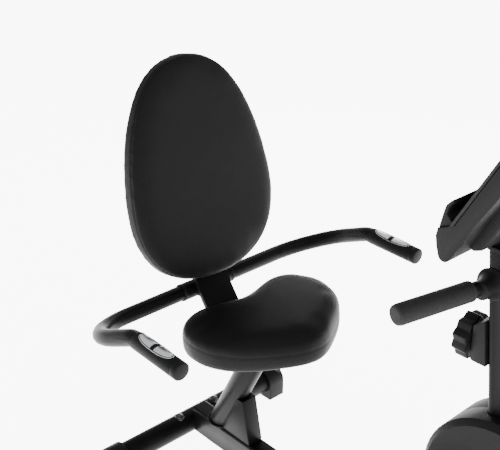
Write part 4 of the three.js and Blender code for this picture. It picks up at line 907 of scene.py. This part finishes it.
SCREEN_UP = 0.120
DIGIT_PROUD = 0.0003
DIGIT_PITCH = 0.022
face_tile("lcd_panel", 0, SCREEN_UP + 0.004, 0.118, 0.050, 0.0006, 0,
          liquid_crystal, "console", 0.0002)
SEGMENT, STROKE = 0.0105, 0.0016
DIGITS = {"0": "abcdef", "2": "abged", "4": "fgbc", "5": "afgcd"}
BARS = {"a": (0, 1, 1), "b": (0.5, 0.5, 0), "c": (0.5, -0.5, 0), "d": (0, -1, 1), "e": (-0.5, -0.5, 0),
        "f": (-0.5, 0.5, 0), "g": (0, 0, 1)}
for place_index, digit in enumerate("2450"):
    for bar in DIGITS[digit]:
        across, up, level = BARS[bar]
        long_way = SEGMENT * 0.82
        size = (long_way, STROKE) if level else (STROKE, long_way)
        face_tile(f"digit_{place_index}_{bar}", 0.036 - place_index * DIGIT_PITCH - across * SEGMENT,
                  SCREEN_UP + 0.006 + up * SEGMENT, size[0], size[1], 0.0004,
                  DIGIT_PROUD, dark_segment, "console", 0.0001)
for i in range(4):
    dress(f"console_button_{i + 1}", tyre_rubber, 0.0009, 3)
dress("console_mount", powder_coat, 0.0012)


# ---- Drive: crank axle, pulleys, belt, flywheel, fork and magnet arm.
# All of it sits inside the housing. The flywheel is cast iron with a turned rim, the pulleys are
# moulded nylon, the belt ribbed rubber and the magnet arm bright steel.

# Grey cast iron with a turned rim: a sandy skin and a dull metal gloss.
cast_iron, shader = material_named("turned_cast_iron", [
    ("Base Color", linear("#4a4b4d")), ("Metallic", 1.0), ("Roughness", 0.45)])
place = node(cast_iron, "ShaderNodeTexCoord")
sand = node(cast_iron, "ShaderNodeTexNoise", [("Scale", 340), ("Detail", 6)], [("Vector", place, "Object")])
grain = node(cast_iron, "ShaderNodeBump", [("Strength", 0.35), ("Distance", 0.0006)],
             [("Height", sand, "Fac")])
gloss = node(cast_iron, "ShaderNodeMapRange", [("To Min", 0.36), ("To Max", 0.62)],
             [("Value", sand, "Fac")])
cast_iron.node_tree.links.new(grain.outputs[0], shader.inputs["Normal"])
cast_iron.node_tree.links.new(gloss.outputs[0], shader.inputs["Roughness"])


def repaint(name, material):
    """Gives a CAD node that keeps its shape a finish of its own."""
    piece = frame["nodes"][name]
    piece.data.materials.clear()
    piece.data.materials.append(material)


repaint("flywheel", cast_iron)
repaint("magnet_arm", brushed_stainless)
repaint("drive_pulley", moulded_black)
repaint("drive_belt", tyre_rubber)
repaint("flywheel_fork", powder_coat)
repaint("bottom_bracket", powder_coat)
repaint("crank_axle", blackened_zinc)


# ---- Drive housing.
# Two moulded ABS halves with a soft satin face, closed by screws. A round cover disc sits over the
# axle on each side, and a raised ring lies over the flywheel.

crank_low, crank_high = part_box("crank_axle")
crank_at = Vector(((crank_low.x + crank_high.x) / 2, 0, (crank_low.z + crank_high.z) / 2))
wheel_low, wheel_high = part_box("flywheel")
wheel_at = Vector(((wheel_low.x + wheel_high.x) / 2, 0, (wheel_low.z + wheel_high.z) / 2))
housing_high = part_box("housing_left")[1]
COVER = [(-0.003, 0.060), (0.0006, 0.060), (0.0016, 0.0588), (0.0016, 0.054), (0.0008, 0.053),
         (0.0008, 0.050), (0.0016, 0.049), (0.0020, 0.030), (0.0020, 0.0165), (0.0012, 0.0158),
         (-0.003, 0.0158)]
SCREW_CIRCLE = 0.128
WHEEL_RING = [(-0.002, 0.112), (0.0005, 0.112), (0.0012, 0.111), (0.0012, 0.106), (0.0004, 0.105),
              (0.0004, 0.098), (0.0012, 0.097), (0.0012, 0.091), (0.0005, 0.090), (-0.002, 0.090)]


def annulus(name, centre, axis, profile, material, body, sides):
    """A turned ring: its closed profile is (distance along the axis, radius)."""
    bpy.ops.mesh.primitive_circle_add(vertices=len(profile), fill_type="NGON")
    ring = bpy.context.object
    ring.name = name
    for corner, (along, radius) in zip(ring.data.vertices, profile):
        corner.co = (radius, 0, along)
    bpy.ops.object.mode_set(mode="EDIT")
    bpy.ops.mesh.select_all(action="SELECT")
    bpy.ops.mesh.delete(type="ONLY_FACE")
    bpy.ops.mesh.select_all(action="SELECT")
    bpy.ops.mesh.spin(steps=sides, angle=2 * math.pi, center=(0, 0, 0), axis=(0, 0, 1))
    bpy.ops.mesh.select_all(action="SELECT")
    bpy.ops.mesh.remove_doubles(threshold=0.00001)
    bpy.ops.mesh.normals_make_consistent(inside=False)
    bpy.ops.object.mode_set(mode="OBJECT")
    turn = Vector(axis).to_track_quat("Z", "Y").to_matrix().to_4x4()
    ring.data.transform(Matrix.Translation(centre) @ turn)
    ring.data.materials.append(material)
    bpy.ops.object.shade_smooth_by_angle(angle=math.radians(30))
    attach(ring, body)


for side, sign in (("left", 1), ("right", -1)):
    dress(f"housing_{side}", moulded_black, 0.0022, 3, 28, 40)
    wall = Vector((0, sign * housing_high.y, 0))
    annulus(f"axle_cover_{side}", crank_at + wall, (0, sign, 0), COVER, moulded_black, "frame",
            64)
    annulus(f"wheel_trim_{side}", wheel_at + wall, (0, sign, 0), WHEEL_RING, moulded_black, "frame",
            80)
    for i, degrees in enumerate((25, 95, 160, 235, 300)):
        angle = math.radians(degrees)
        spot = wheel_at + wall + Vector((math.cos(angle), 0, math.sin(angle))) * SCREW_CIRCLE
        turned_piece(f"housing_screw_{side}_{i}", spot - Vector((0, sign * 0.0015, 0)), (0, sign, 0),
                     PAN_HEAD, blackened_zinc, "frame", 20)


# ---- Crank arms, pedals and foot straps.
# Forged arms, each held on the axle by a flanged nut. The pedals are moulded platforms with
# reflectors at both ends; the straps are moulded rubber.

# Amber acrylic reflector: a clear coat over small moulded prisms.
reflector, shader = material_named("amber_reflector_acrylic", [
    ("Base Color", linear("#b8560d")), ("Roughness", 0.16), ("Coat Weight", 0.4)])
place = node(reflector, "ShaderNodeTexCoord")
prisms = node(reflector, "ShaderNodeTexVoronoi", [("Scale", 480)], [("Vector", place, "Object")])
cut = node(reflector, "ShaderNodeBump", [("Strength", 0.6), ("Distance", 0.0008)],
           [("Height", prisms, "Distance")])
reflector.node_tree.links.new(cut.outputs[0], shader.inputs["Normal"])

CRANK_FACE = 0.065
NUT = [(-0.001, 0.0105), (0.0012, 0.0112), (0.0022, 0.0108), (0.003, 0.0085), (0.008, 0.0078),
       (0.0092, 0.0066), (0.0098, 0.004)]
for side, sign in (("left", 1), ("right", -1)):
    dress(f"crank_arm_{side}", powder_coat, 0.0016, 3)
    dress(f"pedal_{side}", moulded_black, 0.0012)
    dress(f"foot_strap_{side}", tyre_rubber, 0.0006)
    face = Vector((0, sign * CRANK_FACE, 0))
    turned_piece(f"axle_nut_{side}", crank_at + face, (0, sign, 0), NUT, blackened_zinc, "crank", 6)
    low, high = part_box(f"pedal_{side}")
    middle_point = (low + high) / 2
    for end in (-1, 1):
        bpy.ops.mesh.primitive_cube_add(size=1)
        lens = bpy.context.object
        lens.name = f"reflector_{side}_{'front' if end > 0 else 'rear'}"
        bpy.ops.object.mode_set(mode="EDIT")
        bpy.ops.transform.resize(value=(0.003, 0.052, 0.011), center_override=(0, 0, 0))
        bpy.ops.transform.translate(value=middle_point + Vector((end * (high.x - low.x) / 2, 0, 0)))
        bpy.ops.object.mode_set(mode="OBJECT")
        rounding = lens.modifiers.new("rounding", "BEVEL")
        rounding.width = 0.001
        rounding.segments = 3
        apply_all(lens)
        lens.data.materials.append(reflector)
        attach(lens, f"{side}_pedal")

low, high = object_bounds()
